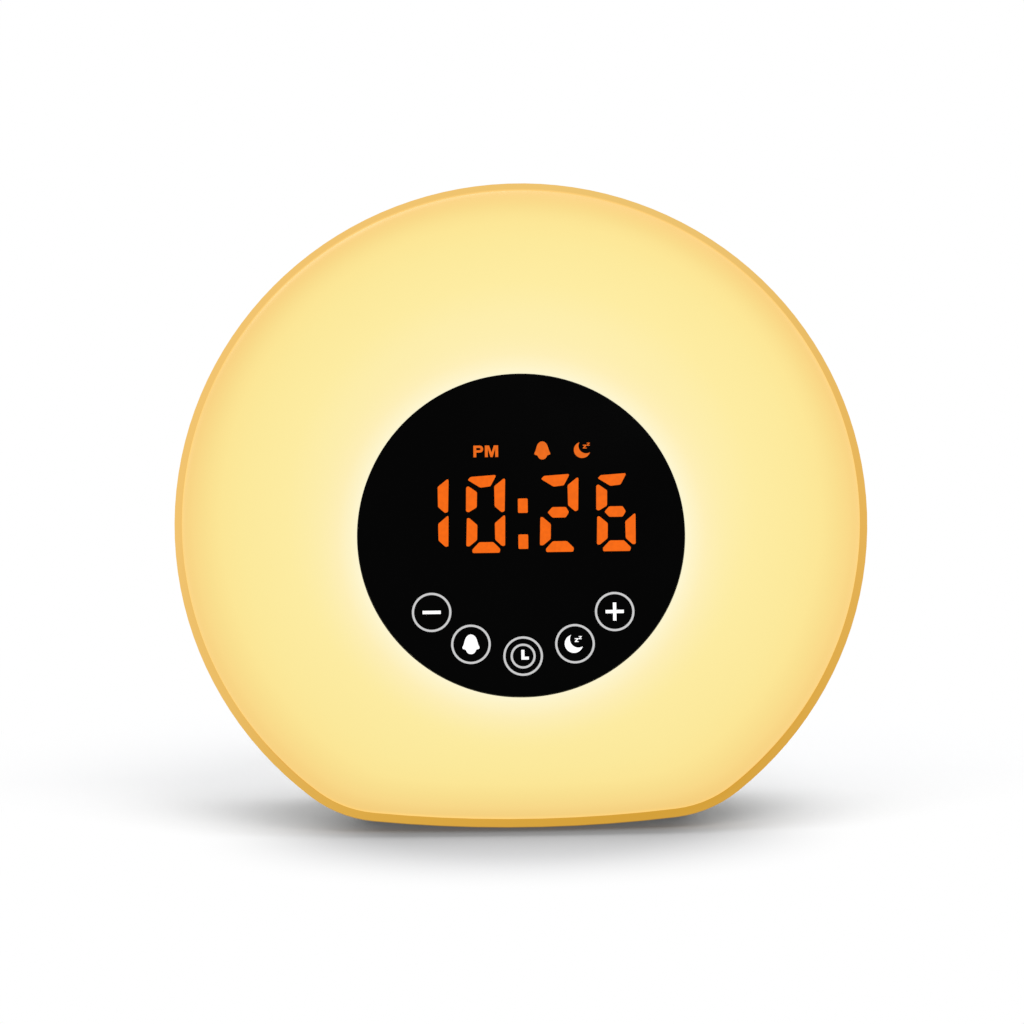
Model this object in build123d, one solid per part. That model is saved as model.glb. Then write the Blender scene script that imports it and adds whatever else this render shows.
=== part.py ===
from build123d import *
import math
import os

# Sunrise alarm clock: a domed, lit face that leans back on a bowl-shaped housing.
# Millimetres, +Z up, the face looks to -Y, and the origin is under the middle of its box.

# --- overall ------------------------------------------------------------------------------
face_radius = 85.0          # round part of the face outline
face_corner_radius = 30.0   # the two lower corners of the outline
face_bottom_radius = 340.0  # the nearly flat lower edge
face_drop = 75.5            # face centre to the middle of the lower edge
face_lean = 10.0            # degrees that the face leans back
body_depth = 76.0           # rim plane to the flat back, along the face axis
bowl_radius = 130.0         # arc of the housing's section, tangent to the face axis at the rim
foot_height = 1.2           # rubber feet under the base
rim_clearance = 0.5         # rim above the table
back_edge_radius = 6.0      # rounding between the bowl and the flat back

# --- rim, diffuser and window -------------------------------------------------------------
rim_width = 1.9             # front face of the housing's rim
rim_depth = 3.2             # height of the rim's side wall
bowl_step = 1.2             # how far the bowl starts inside the rim
housing_wall = 2.4
diffuser_wall = 2.2
window_radius = 39.3        # black display window
window_drop = 6.3           # window centre below the face centre
window_height = 15.0        # window face in front of the rim plane
window_thickness = 1.6
window_collar = 2.4         # ring behind the diffuser that backs the window
window_ledge = 2.6          # how far the ledge reaches under the window
crown_radius = 420.0        # dome of the diffuser
shoulder_radius = 7.5       # rounded edge of the diffuser
window_edge_radius = 0.3
fit_gap = 0.15              # between parts that drop into each other
throat_depth = 6.0          # how far the rim's inner bore runs behind the rim's side wall
skin = 0.5                  # outer layer of the housing's wall that posts and pocket walls stop short of

# --- what stands behind the window --------------------------------------------------------
carrier_wall = 2.0
carrier_flange = 5.0
board_thickness = 1.6
touch_board_height = 3.0    # back of the touch board above the rim plane
touch_board_gap = 1.0       # board edge to the carrier's bore
carrier_shelf_width = 5.0
carrier_screw_angles = (30.0, 150.0, 270.0)
touch_screw_angles = (70.0, 180.0, 355.0)
touch_screw_inset = 3.0
digit_module_size = (61.0, 24.0)
digit_module_corner = 1.0
digit_module_rise = 5.1     # digit row above the window centre
digit_gap = 0.6             # module face to window
digit_height = 18.9
digit_width = 9.5
digit_stroke = 2.6
segment_depth = 0.8
segment_gap = 0.25          # each end of a segment to the corner it points at
colon_size = (2.5, 3.6)
digit_places = (-22.45, -8.85, 8.9, 22.65)
touch_pad_radius = 4.0
touch_pad_spots = ((-21.6, -18.8), (-12.3, -26.6), (0.1, -29.6), (12.5, -26.8), (22.1, -19.2))

# --- ring light ---------------------------------------------------------------------------
reflector_back = 9.0        # back of the reflector behind the rim plane
reflector_thickness = 1.8
reflector_gap = 0.6
ring_board_gap = 1.85       # ring board's bore to the carrier's flange
ring_board_clear = 3.0      # ring board's edge to the boss screws' heads
ring_board_foot = 1.0       # least gap from the ring board's edge to the reflector's lower edge
ring_led_count = 24
ring_led_size = (3.5, 2.8, 1.9)
boss_radius = 3.4
boss_inset = 13.5           # circle of the bosses inside the face's round outline
boss_angles = (45.0, 90.0, 135.0, 192.0, 348.0)

# --- screws -------------------------------------------------------------------------------
screw_radius = 1.25
screw_head_radius = 2.5
screw_head_height = 1.5
screw_slot = (2.6, 0.6)
screw_length = 8.0          # reflector screws
touch_screw_length = 6.0
carrier_screw_length = 5.0
main_screw_length = 7.0
pilot_clearance = 0.05      # screws and the holes that hold them
hole_clearance = 0.1        # screws and the holes they pass
small_screw_radius = 0.85   # screws of the speaker's clamps and of the button board
small_head_radius = 1.8
small_head_height = 1.2
small_slot = (2.2, 0.5)
clamp_screw_length = 3.6
button_screw_length = 5.0

# --- loudspeaker --------------------------------------------------------------------------
speaker_radius = 20.0
speaker_height = 90.0       # speaker centre above the table
speaker_flange = 1.6
speaker_depth = 9.0
speaker_taper = 6.0
magnet_radius = 11.0
magnet_depth = 6.0
gasket_thickness = 1.2
gasket_width = 2.2
basket_sheet = 0.8
coil_radius = 5.0
coil_wall = 0.6
coil_length = 6.0
coil_gap = 0.4              # coil to the magnet round it
pole_gap = 0.5              # coil to the pole inside it
pole_rise = 1.0             # pole above the magnet
pole_plate_thickness = 1.2
pole_plate_inset = 0.5
cone_thickness = 0.8
cone_depth = 5.0
cone_travel = 0.5
cone_front_gap = 0.4        # cone at the front of its travel to the back wall's gasket face
dust_cap_rise = 1.2
grille_hole_radius = 1.1
grille_rings = ((0.0, 1), (4.0, 6), (8.0, 12), (12.0, 18), (15.6, 24))
clamp_size = (8.6, 6.0, 1.4)
clamp_reach = 3.2           # clamp screws outside the speaker's flange
clamp_post_radius = 2.4
cone_edge_gap = 1.0         # cone edge to basket, where the soft surround would be

# --- rear buttons -------------------------------------------------------------------------
button_height = 60.5        # button centres above the table
button_spacing = 17.0
button_names = ("light", "radio", "sound")
button_length = 11.0
button_width = 6.0
button_proud = 1.4
button_edge_radius = 0.5
button_travel = 0.8
button_gap = 0.25
button_flange = 1.2
button_flange_thickness = 1.0
switch_size = 6.0
switch_depth = 3.4
plunger_radius = 1.7
plunger_gap = 0.06
plunger_length = 3.2
plunger_seat = 0.6          # depth of the resting plunger in its switch, besides the travel
switch_floor = 0.5
button_board_size = (60.0, 11.0)
button_post_radius = 2.2
button_post_inset = 3.0     # posts from the ends of the button board

# --- batteries ----------------------------------------------------------------------------
cell_radius = 5.25
cell_length = 43.3
cell_nub_radius = 1.9
cell_nub_length = 1.2
cell_count = 3
cell_gap = 0.8              # between neighbouring cells
cell_side_gap = 0.4         # outer cells to the pocket's sides
cell_floor_gap = 0.3        # cells to the pocket's floor
cell_headroom = 2.6         # cells to the inner side of the back wall
spring_room = 5.5           # pocket's length besides a cell
pocket_wall = 1.6
pocket_bottom = 15.0        # lower side of the pocket above the table
door_lip = 1.8
door_gap = 0.2
door_thickness = 1.8
door_corner_radius = 2.0
ridge_count = 4             # finger ridges cut into the door
ridge_pitch = 1.8
ridge_size = (16.0, 0.8)
ridge_depth = 0.5
ridge_inset = 9.0           # lowest ridge below the door's upper side
contact_thickness = 0.4
contact_height = 8.0
contact_spring_wire = 0.35
contact_spring_radius = 2.9
contact_spring_turns = 3
contact_spring_cone = 6.0   # degrees
contact_spring_gap = 0.05

# --- power socket -------------------------------------------------------------------------
jack_height = 33.0          # above the table
jack_side_gap = 2.6         # socket's nut to the wall beside the battery door
jack_barrel_radius = 4.0
jack_flange_radius = 5.6
jack_flange = 1.0
jack_bore_radius = 2.85
jack_bore_depth = 9.5
jack_body_depth = 13.0
jack_pin_radius = 1.05
jack_nut_radius = 6.0
jack_nut_height = 2.2
jack_hole_gap = 0.1
jack_edge = 0.3             # bevel at the mouth
jack_pin_set = 1.0          # pin's tip behind the back wall's face

# --- inner cables -------------------------------------------------------------------------
ribbon_width = 16.0
ribbon_thickness = 0.8
ribbon_bend = 6.0
ribbon_start = -22.0        # on the touch board, from the window centre
ribbon_straight = 14.0
lead_radius = 0.55
lead_bend = 4.0
lead_straight = 9.0
lead_magnet_spot = (4.0, -4.0)      # each side of the magnet's middle, and below it
lead_pitch = 3.0

# --- main board ---------------------------------------------------------------------------
main_board_size = (84.0, 40.0)
main_board_height = 60.0    # its centre above the table
main_board_stand = 26.0     # its rear face inside the back wall
main_post_radius = 2.8
main_post_inset = 4.0       # posts from the sides of the main board
connector_height = 5.0
connector_depth = 5.0
connector_margin = 1.5      # ribbon connector beyond each side of the ribbon
ribbon_connector = (0.0, -14.0)     # seen from behind, from the board's middle
lead_connector = (-26.0, -4.0)
lead_connector_width = 7.0
# chips: place on the board, width, height, thickness; capacitors: place, radius, height
chip_spots = (
    (-8.0, 3.0, 10.0, 10.0, 1.6),
    (14.0, 6.0, 6.0, 5.0, 1.6),
    (26.0, -4.0, 5.0, 4.0, 1.4),
)
capacitor_spots = (
    (-24.0, 8.0, 4.0, 11.0),
    (25.0, 11.0, 3.2, 9.0),
    (17.0, -12.0, 4.0, 11.0),
)

# --- feet ---------------------------------------------------------------------------------
foot_radius = 5.0
front_foot_set = 20.0       # front feet behind the rim's foot
rear_foot_set = 67.0
foot_spread = 22.0

# --- frames -------------------------------------------------------------------------------
lean = math.radians(face_lean)
rim_foot = face_drop * math.cos(lean) + rim_depth * math.sin(lean)
face_centre_z = rim_clearance + rim_foot
base_z = foot_height
back_y = body_depth * math.cos(lean)
face_plane = Plane(
    origin=(0, 0, face_centre_z),
    x_dir=(1, 0, 0),
    z_dir=(0, -math.cos(lean), math.sin(lean)),
)
back_plane = Plane(origin=(0, back_y, 0), x_dir=(-1, 0, 0), z_dir=(0, 1, 0))
far = 400.0                 # size of the blocks that trim a shape
past = 1.0                  # how far a cut runs beyond the face that it opens


def on_face(shape):
    """Move a shape from the leaning face frame (x right, y up, z out) into the part's frame."""
    return face_plane.location * shape


def on_back(shape):
    """Move a shape from the back frame (x seen from behind, y up, z out) into the part's frame."""
    return back_plane.location * shape


def disc(radius, low, high, x=0.0, y=0.0):
    """Upright cylinder between two heights."""
    height = high - low
    return Pos(x, y, low) * Cylinder(radius, height, align=(Align.CENTER, Align.CENTER, Align.MIN))


def ring(outer, inner, low, high, x=0.0, y=0.0):
    """Upright tube between two heights."""
    return disc(outer, low, high, x, y) - disc(inner, low - past, high + past, x, y)


def block(width, height, low, high, x=0.0, y=0.0):
    """Upright box between two heights, centred in x and y."""
    size = high - low
    return Pos(x, y, low) * Box(width, height, size, align=(Align.CENTER, Align.CENTER, Align.MIN))


def rounded_block(width, height, radius, low, high, x=0.0, y=0.0):
    """Upright block with rounded corners."""
    outline = RectangleRounded(width, height, radius)
    return Pos(x, y, low) * extrude(outline, high - low)


def slot_block(width, height, low, high, x=0.0, y=0.0):
    """Upright block with half-round ends."""
    return Pos(x, y, low) * extrude(SlotOverall(width, height), high - low)


def screw(length, x=0.0, y=0.0, seat=0.0):
    """Pan-head screw that points down from its seat, with a cross slot in the head."""
    shank = disc(screw_radius, seat - length, seat, x, y)
    head = disc(screw_head_radius, seat, seat + screw_head_height, x, y)
    slot_low = seat + screw_head_height / 2
    slot_high = seat + screw_head_height + past
    long, narrow = screw_slot
    slot = block(long, narrow, slot_low, slot_high, x, y) + block(narrow, long, slot_low, slot_high, x, y)
    return shank + head - slot


def on_circle(radius, angles):
    """Points on a circle at the given angles in degrees."""
    return [(radius * math.cos(math.radians(a)), radius * math.sin(math.radians(a))) for a in angles]


# --- face outline -------------------------------------------------------------------------
def corner_centre():
    """Centre of the right lower corner arc, tangent inside the round part and the lower edge."""
    reach_round = face_radius - face_corner_radius
    reach_bottom = face_bottom_radius - face_corner_radius
    bottom_y = face_bottom_radius - face_drop
    y = (reach_round ** 2 - reach_bottom ** 2 + bottom_y ** 2) / (2 * bottom_y)
    return math.sqrt(reach_round ** 2 - y ** 2), y


def face_outline(inset):
    """Face outline moved inwards by inset: four tangent arcs."""
    corner_x, corner_y = corner_centre()
    bottom_y = face_bottom_radius - face_drop
    side = math.degrees(math.atan2(corner_y, corner_x))
    under = math.degrees(math.atan2(corner_y - bottom_y, corner_x))
    turn = side - under
    corner = face_corner_radius - inset
    arcs = [
        CenterArc((0, 0), face_radius - inset, side, 180 - 2 * side),
        CenterArc((-corner_x, corner_y), corner, 180 - side, turn),
        CenterArc((0, bottom_y), face_bottom_radius - inset, -180 - under, 180 + 2 * under),
        CenterArc((corner_x, corner_y), corner, under, turn),
    ]
    return make_face(arcs)


def face_block(inset, low, high):
    """The face outline as a block between two heights in the face frame."""
    return Pos(0, 0, low) * extrude(face_outline(inset), high - low)


# --- diffuser and window ------------------------------------------------------------------
def dome(inset, low, crown_drop, edge_radius):
    """Closed dome on the face outline: a block trimmed by the crown and rounded at its shoulder."""
    crown = crown_radius - crown_drop
    rise = math.sqrt(crown_radius ** 2 - window_radius ** 2)
    ball = Pos(0, -window_drop, window_height - rise) * Sphere(crown)
    body = face_block(inset, low, far) & ball
    top = body.faces().sort_by(Axis.Z)[-1]
    return fillet(top.edges(), edge_radius)


def window_ledge_height():
    """Back of the window in front of the rim plane."""
    return window_height - window_thickness


def carrier_bore():
    """Inner radius of the window carrier, level with the hole in the diffuser's ledge."""
    return window_radius - window_ledge


def behind_window(parts):
    """Parts laid out from the window's centre, as one shape in the part's frame."""
    return on_face(Pos(0, -window_drop, 0) * Compound(parts))


def front_diffuser():
    """Translucent domed cover with a stepped round opening for the window."""
    edge = rim_width + fit_gap
    outer = dome(edge, -rim_depth, 0.0, shoulder_radius)
    inner = dome(edge + diffuser_wall, -rim_depth - past, diffuser_wall, shoulder_radius - diffuser_wall)
    ledge = window_ledge_height()
    collar_outer = window_radius + diffuser_wall
    collar = disc(collar_outer, ledge - window_collar, ledge + skin, y=-window_drop)
    recess = disc(window_radius + fit_gap, ledge, far, y=-window_drop)
    hole = disc(carrier_bore(), -far, far, y=-window_drop)
    return on_face((outer - inner) + collar - recess - hole)


def display_window():
    """Black lens that drops into the opening."""
    lens = disc(window_radius, window_ledge_height(), window_height, y=-window_drop)
    rim_edges = lens.edges().filter_by(GeomType.CIRCLE).sort_by(Axis.Z)[-1:]
    return on_face(fillet(rim_edges, window_edge_radius))


def window_carrier():
    """Black cup between the reflector and the diffuser's collar, with a shelf for the touch board."""
    low = -reflector_back + reflector_thickness
    top = window_ledge_height() - window_collar
    inner = carrier_bore()
    outer = inner + carrier_wall
    cup = ring(outer, inner, low, top)
    flange = ring(outer + carrier_flange, inner, low, low + carrier_wall)
    shelf = ring(inner + skin, inner - carrier_shelf_width, low + carrier_wall, touch_board_height)
    hole = screw_radius + pilot_clearance
    pilot_low = touch_board_height - touch_screw_length
    holes = [disc(hole, -far, far, x, y) for x, y in carrier_screw_spots()]
    pilots = [disc(hole, pilot_low, far, x, y) for x, y in touch_screw_spots()]
    return on_face(Pos(0, -window_drop, 0) * (cup + flange + shelf - holes - pilots))


def carrier_screw_spots():
    """In the middle of the carrier's flange, from the window's centre."""
    return on_circle(carrier_bore() + carrier_wall + carrier_flange / 2, carrier_screw_angles)


def touch_screw_spots():
    """On the carrier's shelf, as far in from its wall as the screws' heads need."""
    return on_circle(carrier_bore() - touch_screw_inset, touch_screw_angles)


def touch_board():
    """Round circuit board behind the window."""
    low = touch_board_height
    board = disc(carrier_bore() - touch_board_gap, low, low + board_thickness)
    holes = [disc(screw_radius + hole_clearance, -far, far, x, y) for x, y in touch_screw_spots()]
    return on_face(Pos(0, -window_drop, 0) * (board - holes))


def touch_board_screws():
    seat = touch_board_height + board_thickness
    return behind_window([screw(touch_screw_length, x, y, seat) for x, y in touch_screw_spots()])


def touch_pads():
    """Conductive foam pads from the touch board to the back of the window, one under each icon."""
    low = touch_board_height + board_thickness
    high = window_ledge_height()
    bore = touch_pad_radius / 2
    return behind_window([ring(touch_pad_radius, bore, low, high, x, y) for x, y in touch_pad_spots])


def segment_bar(length, low, high, x, y, upright):
    """One lit segment with pointed ends."""
    half = length / 2 - segment_gap
    side = digit_stroke / 2
    points = [(-half, 0), (-half + side, side), (half - side, side), (half, 0), (half - side, -side)]
    points.append((-half + side, -side))
    bar = extrude(make_face(Polyline(*points, close=True)), high - low)
    turn = 90 if upright else 0
    return Pos(x, y, low) * Rot(0, 0, turn) * bar


def digit_segments():
    """Lit segments of 10:26 on the face of the digit module."""
    high = window_ledge_height() - digit_gap
    low = high - segment_depth
    half_width = (digit_width - digit_stroke) / 2
    half_height = (digit_height - digit_stroke) / 2
    places = {
        "top": (0, half_height, False),
        "middle": (0, 0, False),
        "bottom": (0, -half_height, False),
        "upper_left": (-half_width, half_height / 2, True),
        "upper_right": (half_width, half_height / 2, True),
        "lower_left": (-half_width, -half_height / 2, True),
        "lower_right": (half_width, -half_height / 2, True),
    }
    lit = (
        ("upper_right", "lower_right"),
        ("top", "bottom", "upper_left", "upper_right", "lower_left", "lower_right"),
        ("top", "upper_right", "middle", "lower_left", "bottom"),
        ("top", "upper_left", "middle", "lower_left", "lower_right", "bottom"),
    )
    parts = []
    for place, names in zip(digit_places, lit):
        for name in names:
            x, y, upright = places[name]
            length = half_height if upright else 2 * half_width
            parts.append(segment_bar(length, low, high, place + x, digit_module_rise + y, upright))
    for side in (-1, 1):
        parts.append(block(*colon_size, low, high, 0.0, digit_module_rise + side * half_height / 2))
    return behind_window(parts)


def digit_module():
    """Black block on the touch board that carries the segments."""
    low = touch_board_height + board_thickness
    high = window_ledge_height() - digit_gap - segment_depth
    width, height = digit_module_size
    return behind_window([rounded_block(width, height, digit_module_corner, low, high, y=digit_module_rise)])


# --- ring light ---------------------------------------------------------------------------
def reflector_inset():
    """Edge of the reflector inside the face outline."""
    return rim_width + diffuser_wall + reflector_gap


def reflector_plate():
    """White plate behind the ring light, on the housing's bosses."""
    low = -reflector_back
    high = low + reflector_thickness
    plate = face_block(reflector_inset(), low, high)
    hole = disc(carrier_bore() - carrier_shelf_width, -far, far)
    pilots = [disc(screw_radius + pilot_clearance, -far, far, x, y) for x, y in carrier_screw_spots()]
    boss_holes = [disc(screw_radius + hole_clearance, -far, far, x, y) for x, y in boss_spots()]
    return on_face(plate - [Pos(0, -window_drop, 0) * cut for cut in [hole] + pilots] - boss_holes)


def boss_spots():
    return on_circle(face_radius - boss_inset, boss_angles)


def carrier_screws():
    seat = -reflector_back + reflector_thickness + carrier_wall
    return behind_window([screw(carrier_screw_length, x, y, seat) for x, y in carrier_screw_spots()])


def reflector_screws():
    seat = -reflector_back + reflector_thickness
    return on_face(Compound([screw(screw_length, x, y, seat) for x, y in boss_spots()]))


def ring_board_middle():
    """The ring board's middle, half way between the face's centre and the window's."""
    return -window_drop / 2


def ring_board_radii():
    """Bore and edge of the ring board, between the carrier's flange, the boss screws and the lower edge."""
    flange = carrier_bore() + carrier_wall + carrier_flange
    bore = flange + window_drop / 2 + ring_board_gap
    to_screws = face_radius - boss_inset - screw_head_radius - ring_board_clear
    to_foot = face_drop + ring_board_middle() - reflector_inset() - ring_board_foot
    return bore, min(to_screws, to_foot)


def ring_light_board():
    low = -reflector_back + reflector_thickness
    bore, edge = ring_board_radii()
    return on_face(ring(edge, bore, low, low + board_thickness, y=ring_board_middle()))


def ring_light_leds():
    """LEDs in a ring on their board."""
    low = -reflector_back + reflector_thickness + board_thickness
    length, width, height = ring_led_size
    parts = []
    for index in range(ring_led_count):
        angle = 360.0 * index / ring_led_count
        led = block(width, length, low, low + height, x=sum(ring_board_radii()) / 2)
        parts.append(Pos(0, ring_board_middle(), 0) * Rot(0, 0, angle) * led)
    return on_face(Compound(parts))


# --- rear housing -------------------------------------------------------------------------
def bowl(shrink):
    """Solid bowl behind the rim plane: an arc turned round the face axis."""
    wide = face_radius - bowl_step - shrink
    arc_radius = bowl_radius - shrink
    deep = body_depth + face_radius * math.tan(lean)
    sweep = math.degrees(math.asin(deep / arc_radius))
    arc = CenterArc((wide - arc_radius, -rim_depth), arc_radius, 0, -sweep)
    start, end = arc @ 0, arc @ 1
    edges = [
        arc,
        Line(end, (0, end.Y)),
        Line((0, end.Y), (0, -rim_depth)),
        Line((0, -rim_depth), start),
    ]
    return revolve(Plane.XZ * make_face(edges), Axis.Z)


def housing_form(shrink):
    """Closed form of the housing behind the rim, moved inwards by shrink: bowl, base and back."""
    form = on_face(bowl(shrink) & face_block(bowl_step + shrink, -far, -rim_depth))
    room = Pos(0, back_y - shrink - far / 2, base_z + shrink + far / 2) * Box(far, far, far)
    form = form & room
    back_edges = form.faces().sort_by(Axis.Y)[-1].edges()
    return fillet(back_edges, back_edge_radius - shrink)


def boss_columns():
    """Bosses for the reflector, from the plate back into the housing's wall."""
    trim = bowl(skin)
    pilot_low = -reflector_back - screw_length
    parts = []
    for x, y in boss_spots():
        column = disc(boss_radius, -body_depth, -reflector_back, x, y) & trim
        pilot = disc(screw_radius + pilot_clearance, pilot_low, past, x, y)
        parts.append(on_face(column - pilot))
    return parts


def pocket_width():
    return cell_length + cell_nub_length + spring_room


def jack_spot():
    """Beside the battery pocket and its door, seen from behind: right of the middle, above the table."""
    beside = pocket_width() / 2 + door_lip + pocket_wall
    return beside + jack_nut_radius + jack_side_gap, jack_height


def pocket_height():
    return cell_count * 2 * cell_radius + (cell_count - 1) * cell_gap + 2 * cell_side_gap


def pocket_middle():
    return pocket_bottom + pocket_height() / 2


def pocket_floor():
    """Back frame height of the pocket's floor."""
    return -housing_wall - cell_headroom - 2 * cell_radius - cell_floor_gap


def battery_pocket_walls():
    width = pocket_width() + 2 * pocket_wall
    height = pocket_height() + 2 * pocket_wall
    return block(width, height, pocket_floor() - pocket_wall, -skin, y=pocket_middle())


def battery_pocket_room():
    """Space for the cells, with the wider step for the door in front of it."""
    room = block(pocket_width(), pocket_height(), pocket_floor(), past, y=pocket_middle())
    width = pocket_width() + 2 * door_lip
    height = pocket_height() + 2 * door_lip
    low = -door_thickness - door_gap
    step = rounded_block(width, height, door_corner_radius, low, past, y=pocket_middle())
    return room + step


def door_ledge():
    """Frame inside the back wall that backs the door's lip."""
    width = pocket_width() + 2 * door_lip + 2 * pocket_wall
    height = pocket_height() + 2 * door_lip + 2 * pocket_wall
    return block(width, height, -housing_wall - pocket_wall, -skin, y=pocket_middle())


def grille_holes():
    holes = []
    for radius, count in grille_rings:
        for index in range(count):
            angle = 2 * math.pi * index / count
            x = radius * math.cos(angle)
            y = speaker_height + radius * math.sin(angle)
            holes.append(disc(grille_hole_radius, -housing_wall - past, past, x, y))
    return holes


def button_spots():
    middle = (len(button_names) - 1) / 2
    return [((index - middle) * button_spacing, button_height) for index in range(len(button_names))]


def button_holes():
    width = button_length + 2 * button_gap
    height = button_width + 2 * button_gap
    low = -housing_wall - past
    return [slot_block(width, height, low, past, x, y) for x, y in button_spots()]


def button_board_depth():
    """Back frame height of the button board's outer face."""
    flange_low = -housing_wall - button_gap - button_flange_thickness
    return flange_low - plunger_length + button_travel + plunger_seat - switch_depth


def button_post_spots():
    x = button_board_size[0] / 2 - button_post_inset
    return [(side * x, button_height) for side in (-1, 1)]


def button_posts():
    return [disc(button_post_radius, button_board_depth(), -skin, x, y) for x, y in button_post_spots()]


def button_post_pilots():
    low = button_board_depth() - past
    high = button_board_depth() + button_screw_length
    return [disc(small_screw_radius + pilot_clearance, low, high, x, y) for x, y in button_post_spots()]


def main_board_face():
    """Back frame height of the main board's face on its posts."""
    return -housing_wall - main_board_stand


def main_post_spots():
    x = main_board_size[0] / 2 - main_post_inset
    y = main_board_size[1] / 2 - main_post_inset
    return [(sx * x, main_board_height + sy * y) for sx in (-1, 1) for sy in (-1, 1)]


def main_posts():
    return [disc(main_post_radius, main_board_face(), -skin, x, y) for x, y in main_post_spots()]


def main_post_pilots():
    low = main_board_face() - past
    high = main_board_face() + main_screw_length
    return [disc(screw_radius + pilot_clearance, low, high, x, y) for x, y in main_post_spots()]


def clamp_spots():
    reach = speaker_radius + clamp_reach
    return [(side * reach, speaker_height) for side in (-1, 1)]


def clamp_height():
    """Back frame height of the clamps' rear side, level with the speaker flange's front."""
    return -housing_wall - gasket_thickness - speaker_flange


def clamp_posts():
    return [disc(clamp_post_radius, clamp_height(), -skin, x, y) for x, y in clamp_spots()]


def clamp_pilots():
    low = clamp_height() - past
    return [disc(small_screw_radius + pilot_clearance, low, -housing_wall, x, y) for x, y in clamp_spots()]


def rear_housing():
    """Bowl with rim, flat base and back, battery pocket, posts and openings."""
    outer = housing_form(0.0)
    room = housing_form(housing_wall)
    rim = on_face(face_block(0.0, -rim_depth, 0.0))
    throat = on_face(face_block(bowl_step + housing_wall, -rim_depth - throat_depth, past))
    diffuser_seat = on_face(face_block(rim_width, -rim_depth, past))
    shell = (outer - room) + rim - throat - diffuser_seat
    inside = [column & outer for column in boss_columns()]
    inside += [on_back(battery_pocket_walls()) & outer, on_back(door_ledge()) & outer]
    inside += [on_back(post) & outer for post in button_posts() + main_posts() + clamp_posts()]
    shell = shell + inside
    cuts = [battery_pocket_room()] + grille_holes() + button_holes()
    cuts += button_post_pilots() + main_post_pilots() + clamp_pilots()
    cuts.append(disc(jack_barrel_radius + jack_hole_gap, -housing_wall - past, past, *jack_spot()))
    return shell - [on_back(cut) for cut in cuts]


# --- loudspeaker --------------------------------------------------------------------------
def speaker_gasket():
    low = -housing_wall - gasket_thickness
    return on_back(ring(speaker_radius, speaker_radius - gasket_width, low, -housing_wall, y=speaker_height))


def speaker_basket():
    """Pressed steel frame: flange, tapered skirt and the plate that carries the magnet."""
    top = -housing_wall - gasket_thickness
    flange = ring(speaker_radius, speaker_radius - gasket_width, top - speaker_flange, top)
    low = top - speaker_depth
    wide = speaker_radius - gasket_width + basket_sheet
    skirt_height = speaker_depth - speaker_flange
    narrow = wide - speaker_taper
    stand = (Align.CENTER, Align.CENTER, Align.MIN)
    skirt = Pos(0, 0, low) * Cone(narrow, wide, skirt_height, align=stand)
    hollow = Pos(0, 0, low) * Cone(narrow - basket_sheet, wide - basket_sheet, skirt_height, align=stand)
    plate = ring(narrow, coil_radius + coil_gap + basket_sheet, low - basket_sheet, low)
    basket = flange + (skirt - hollow) + plate
    return on_back(Pos(0, speaker_height, 0) * basket)


def speaker_magnet():
    """Ring magnet with its pole piece."""
    top = -housing_wall - gasket_thickness - speaker_depth - basket_sheet
    low = top - magnet_depth
    magnet = ring(magnet_radius, coil_radius + coil_gap, low, top)
    plate = disc(magnet_radius - pole_plate_inset, low - pole_plate_thickness, low)
    pole = disc(coil_radius - coil_wall - pole_gap, low - pole_plate_thickness, top + pole_rise)
    return on_back(Pos(0, speaker_height, 0) * (magnet + plate + pole))


def speaker_cone():
    """Moving cone with dust cap and coil former, one turned piece."""
    top = -housing_wall - gasket_thickness - cone_front_gap - cone_travel
    wide = speaker_radius - gasket_width - cone_edge_gap
    apex = top - cone_depth
    coil_end = apex - coil_length
    coil_inner = coil_radius - coil_wall
    outline = [
        (0, apex + dust_cap_rise),
        (coil_radius, apex),
        (coil_radius, coil_end),
        (coil_inner, coil_end),
        (coil_inner, apex - cone_thickness),
        (0, apex + dust_cap_rise - cone_thickness),
    ]
    former = revolve(Plane.XZ * make_face(Polyline(*outline, close=True)), Axis.Z)
    paper = [
        (coil_radius - coil_wall / 2, apex - cone_thickness),
        (coil_radius - coil_wall / 2, apex),
        (wide, top),
        (wide, top - cone_thickness),
    ]
    skin = revolve(Plane.XZ * make_face(Polyline(*paper, close=True)), Axis.Z)
    return on_back(Pos(0, speaker_height, 0) * (former + skin))


def speaker_clamps():
    """Two steel tabs that hold the speaker's flange."""
    length, width, thickness = clamp_size
    top = clamp_height()
    parts = []
    for x, y in clamp_spots():
        tab = block(length, width, top - thickness, top, x, y)
        parts.append(tab - disc(small_screw_radius + hole_clearance, -far, far, x, y))
    return on_back(Compound(parts))


def back_screw(radius, length, x, y, seat):
    """Small screw driven towards the back wall: its head looks into the clock."""
    shank = disc(radius, seat, seat + length, x, y)
    cap = disc(radius * small_head_radius / small_screw_radius, seat - small_head_height, seat, x, y)
    slot = block(*small_slot, seat - small_head_height - past, seat - small_head_height / 2, x, y)
    return shank + cap - slot


def speaker_clamp_screws():
    seat = clamp_height() - clamp_size[2]
    parts = [back_screw(small_screw_radius, clamp_screw_length, x, y, seat) for x, y in clamp_spots()]
    return on_back(Compound(parts))


# --- rear buttons -------------------------------------------------------------------------
def button_cap(x, y):
    """Button with a flange that keeps it behind the wall."""
    top = button_proud
    flange_top = -housing_wall - button_gap
    flange_low = flange_top - button_flange_thickness
    stem = slot_block(button_length, button_width, flange_low, top, x, y)
    top_edges = stem.faces().sort_by(Axis.Z)[-1].edges()
    stem = fillet(top_edges, button_edge_radius)
    width = button_length + 2 * button_flange
    height = button_width + 2 * button_flange
    flange = slot_block(width, height, flange_low, flange_top, x, y)
    return on_back(stem + flange)


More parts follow.
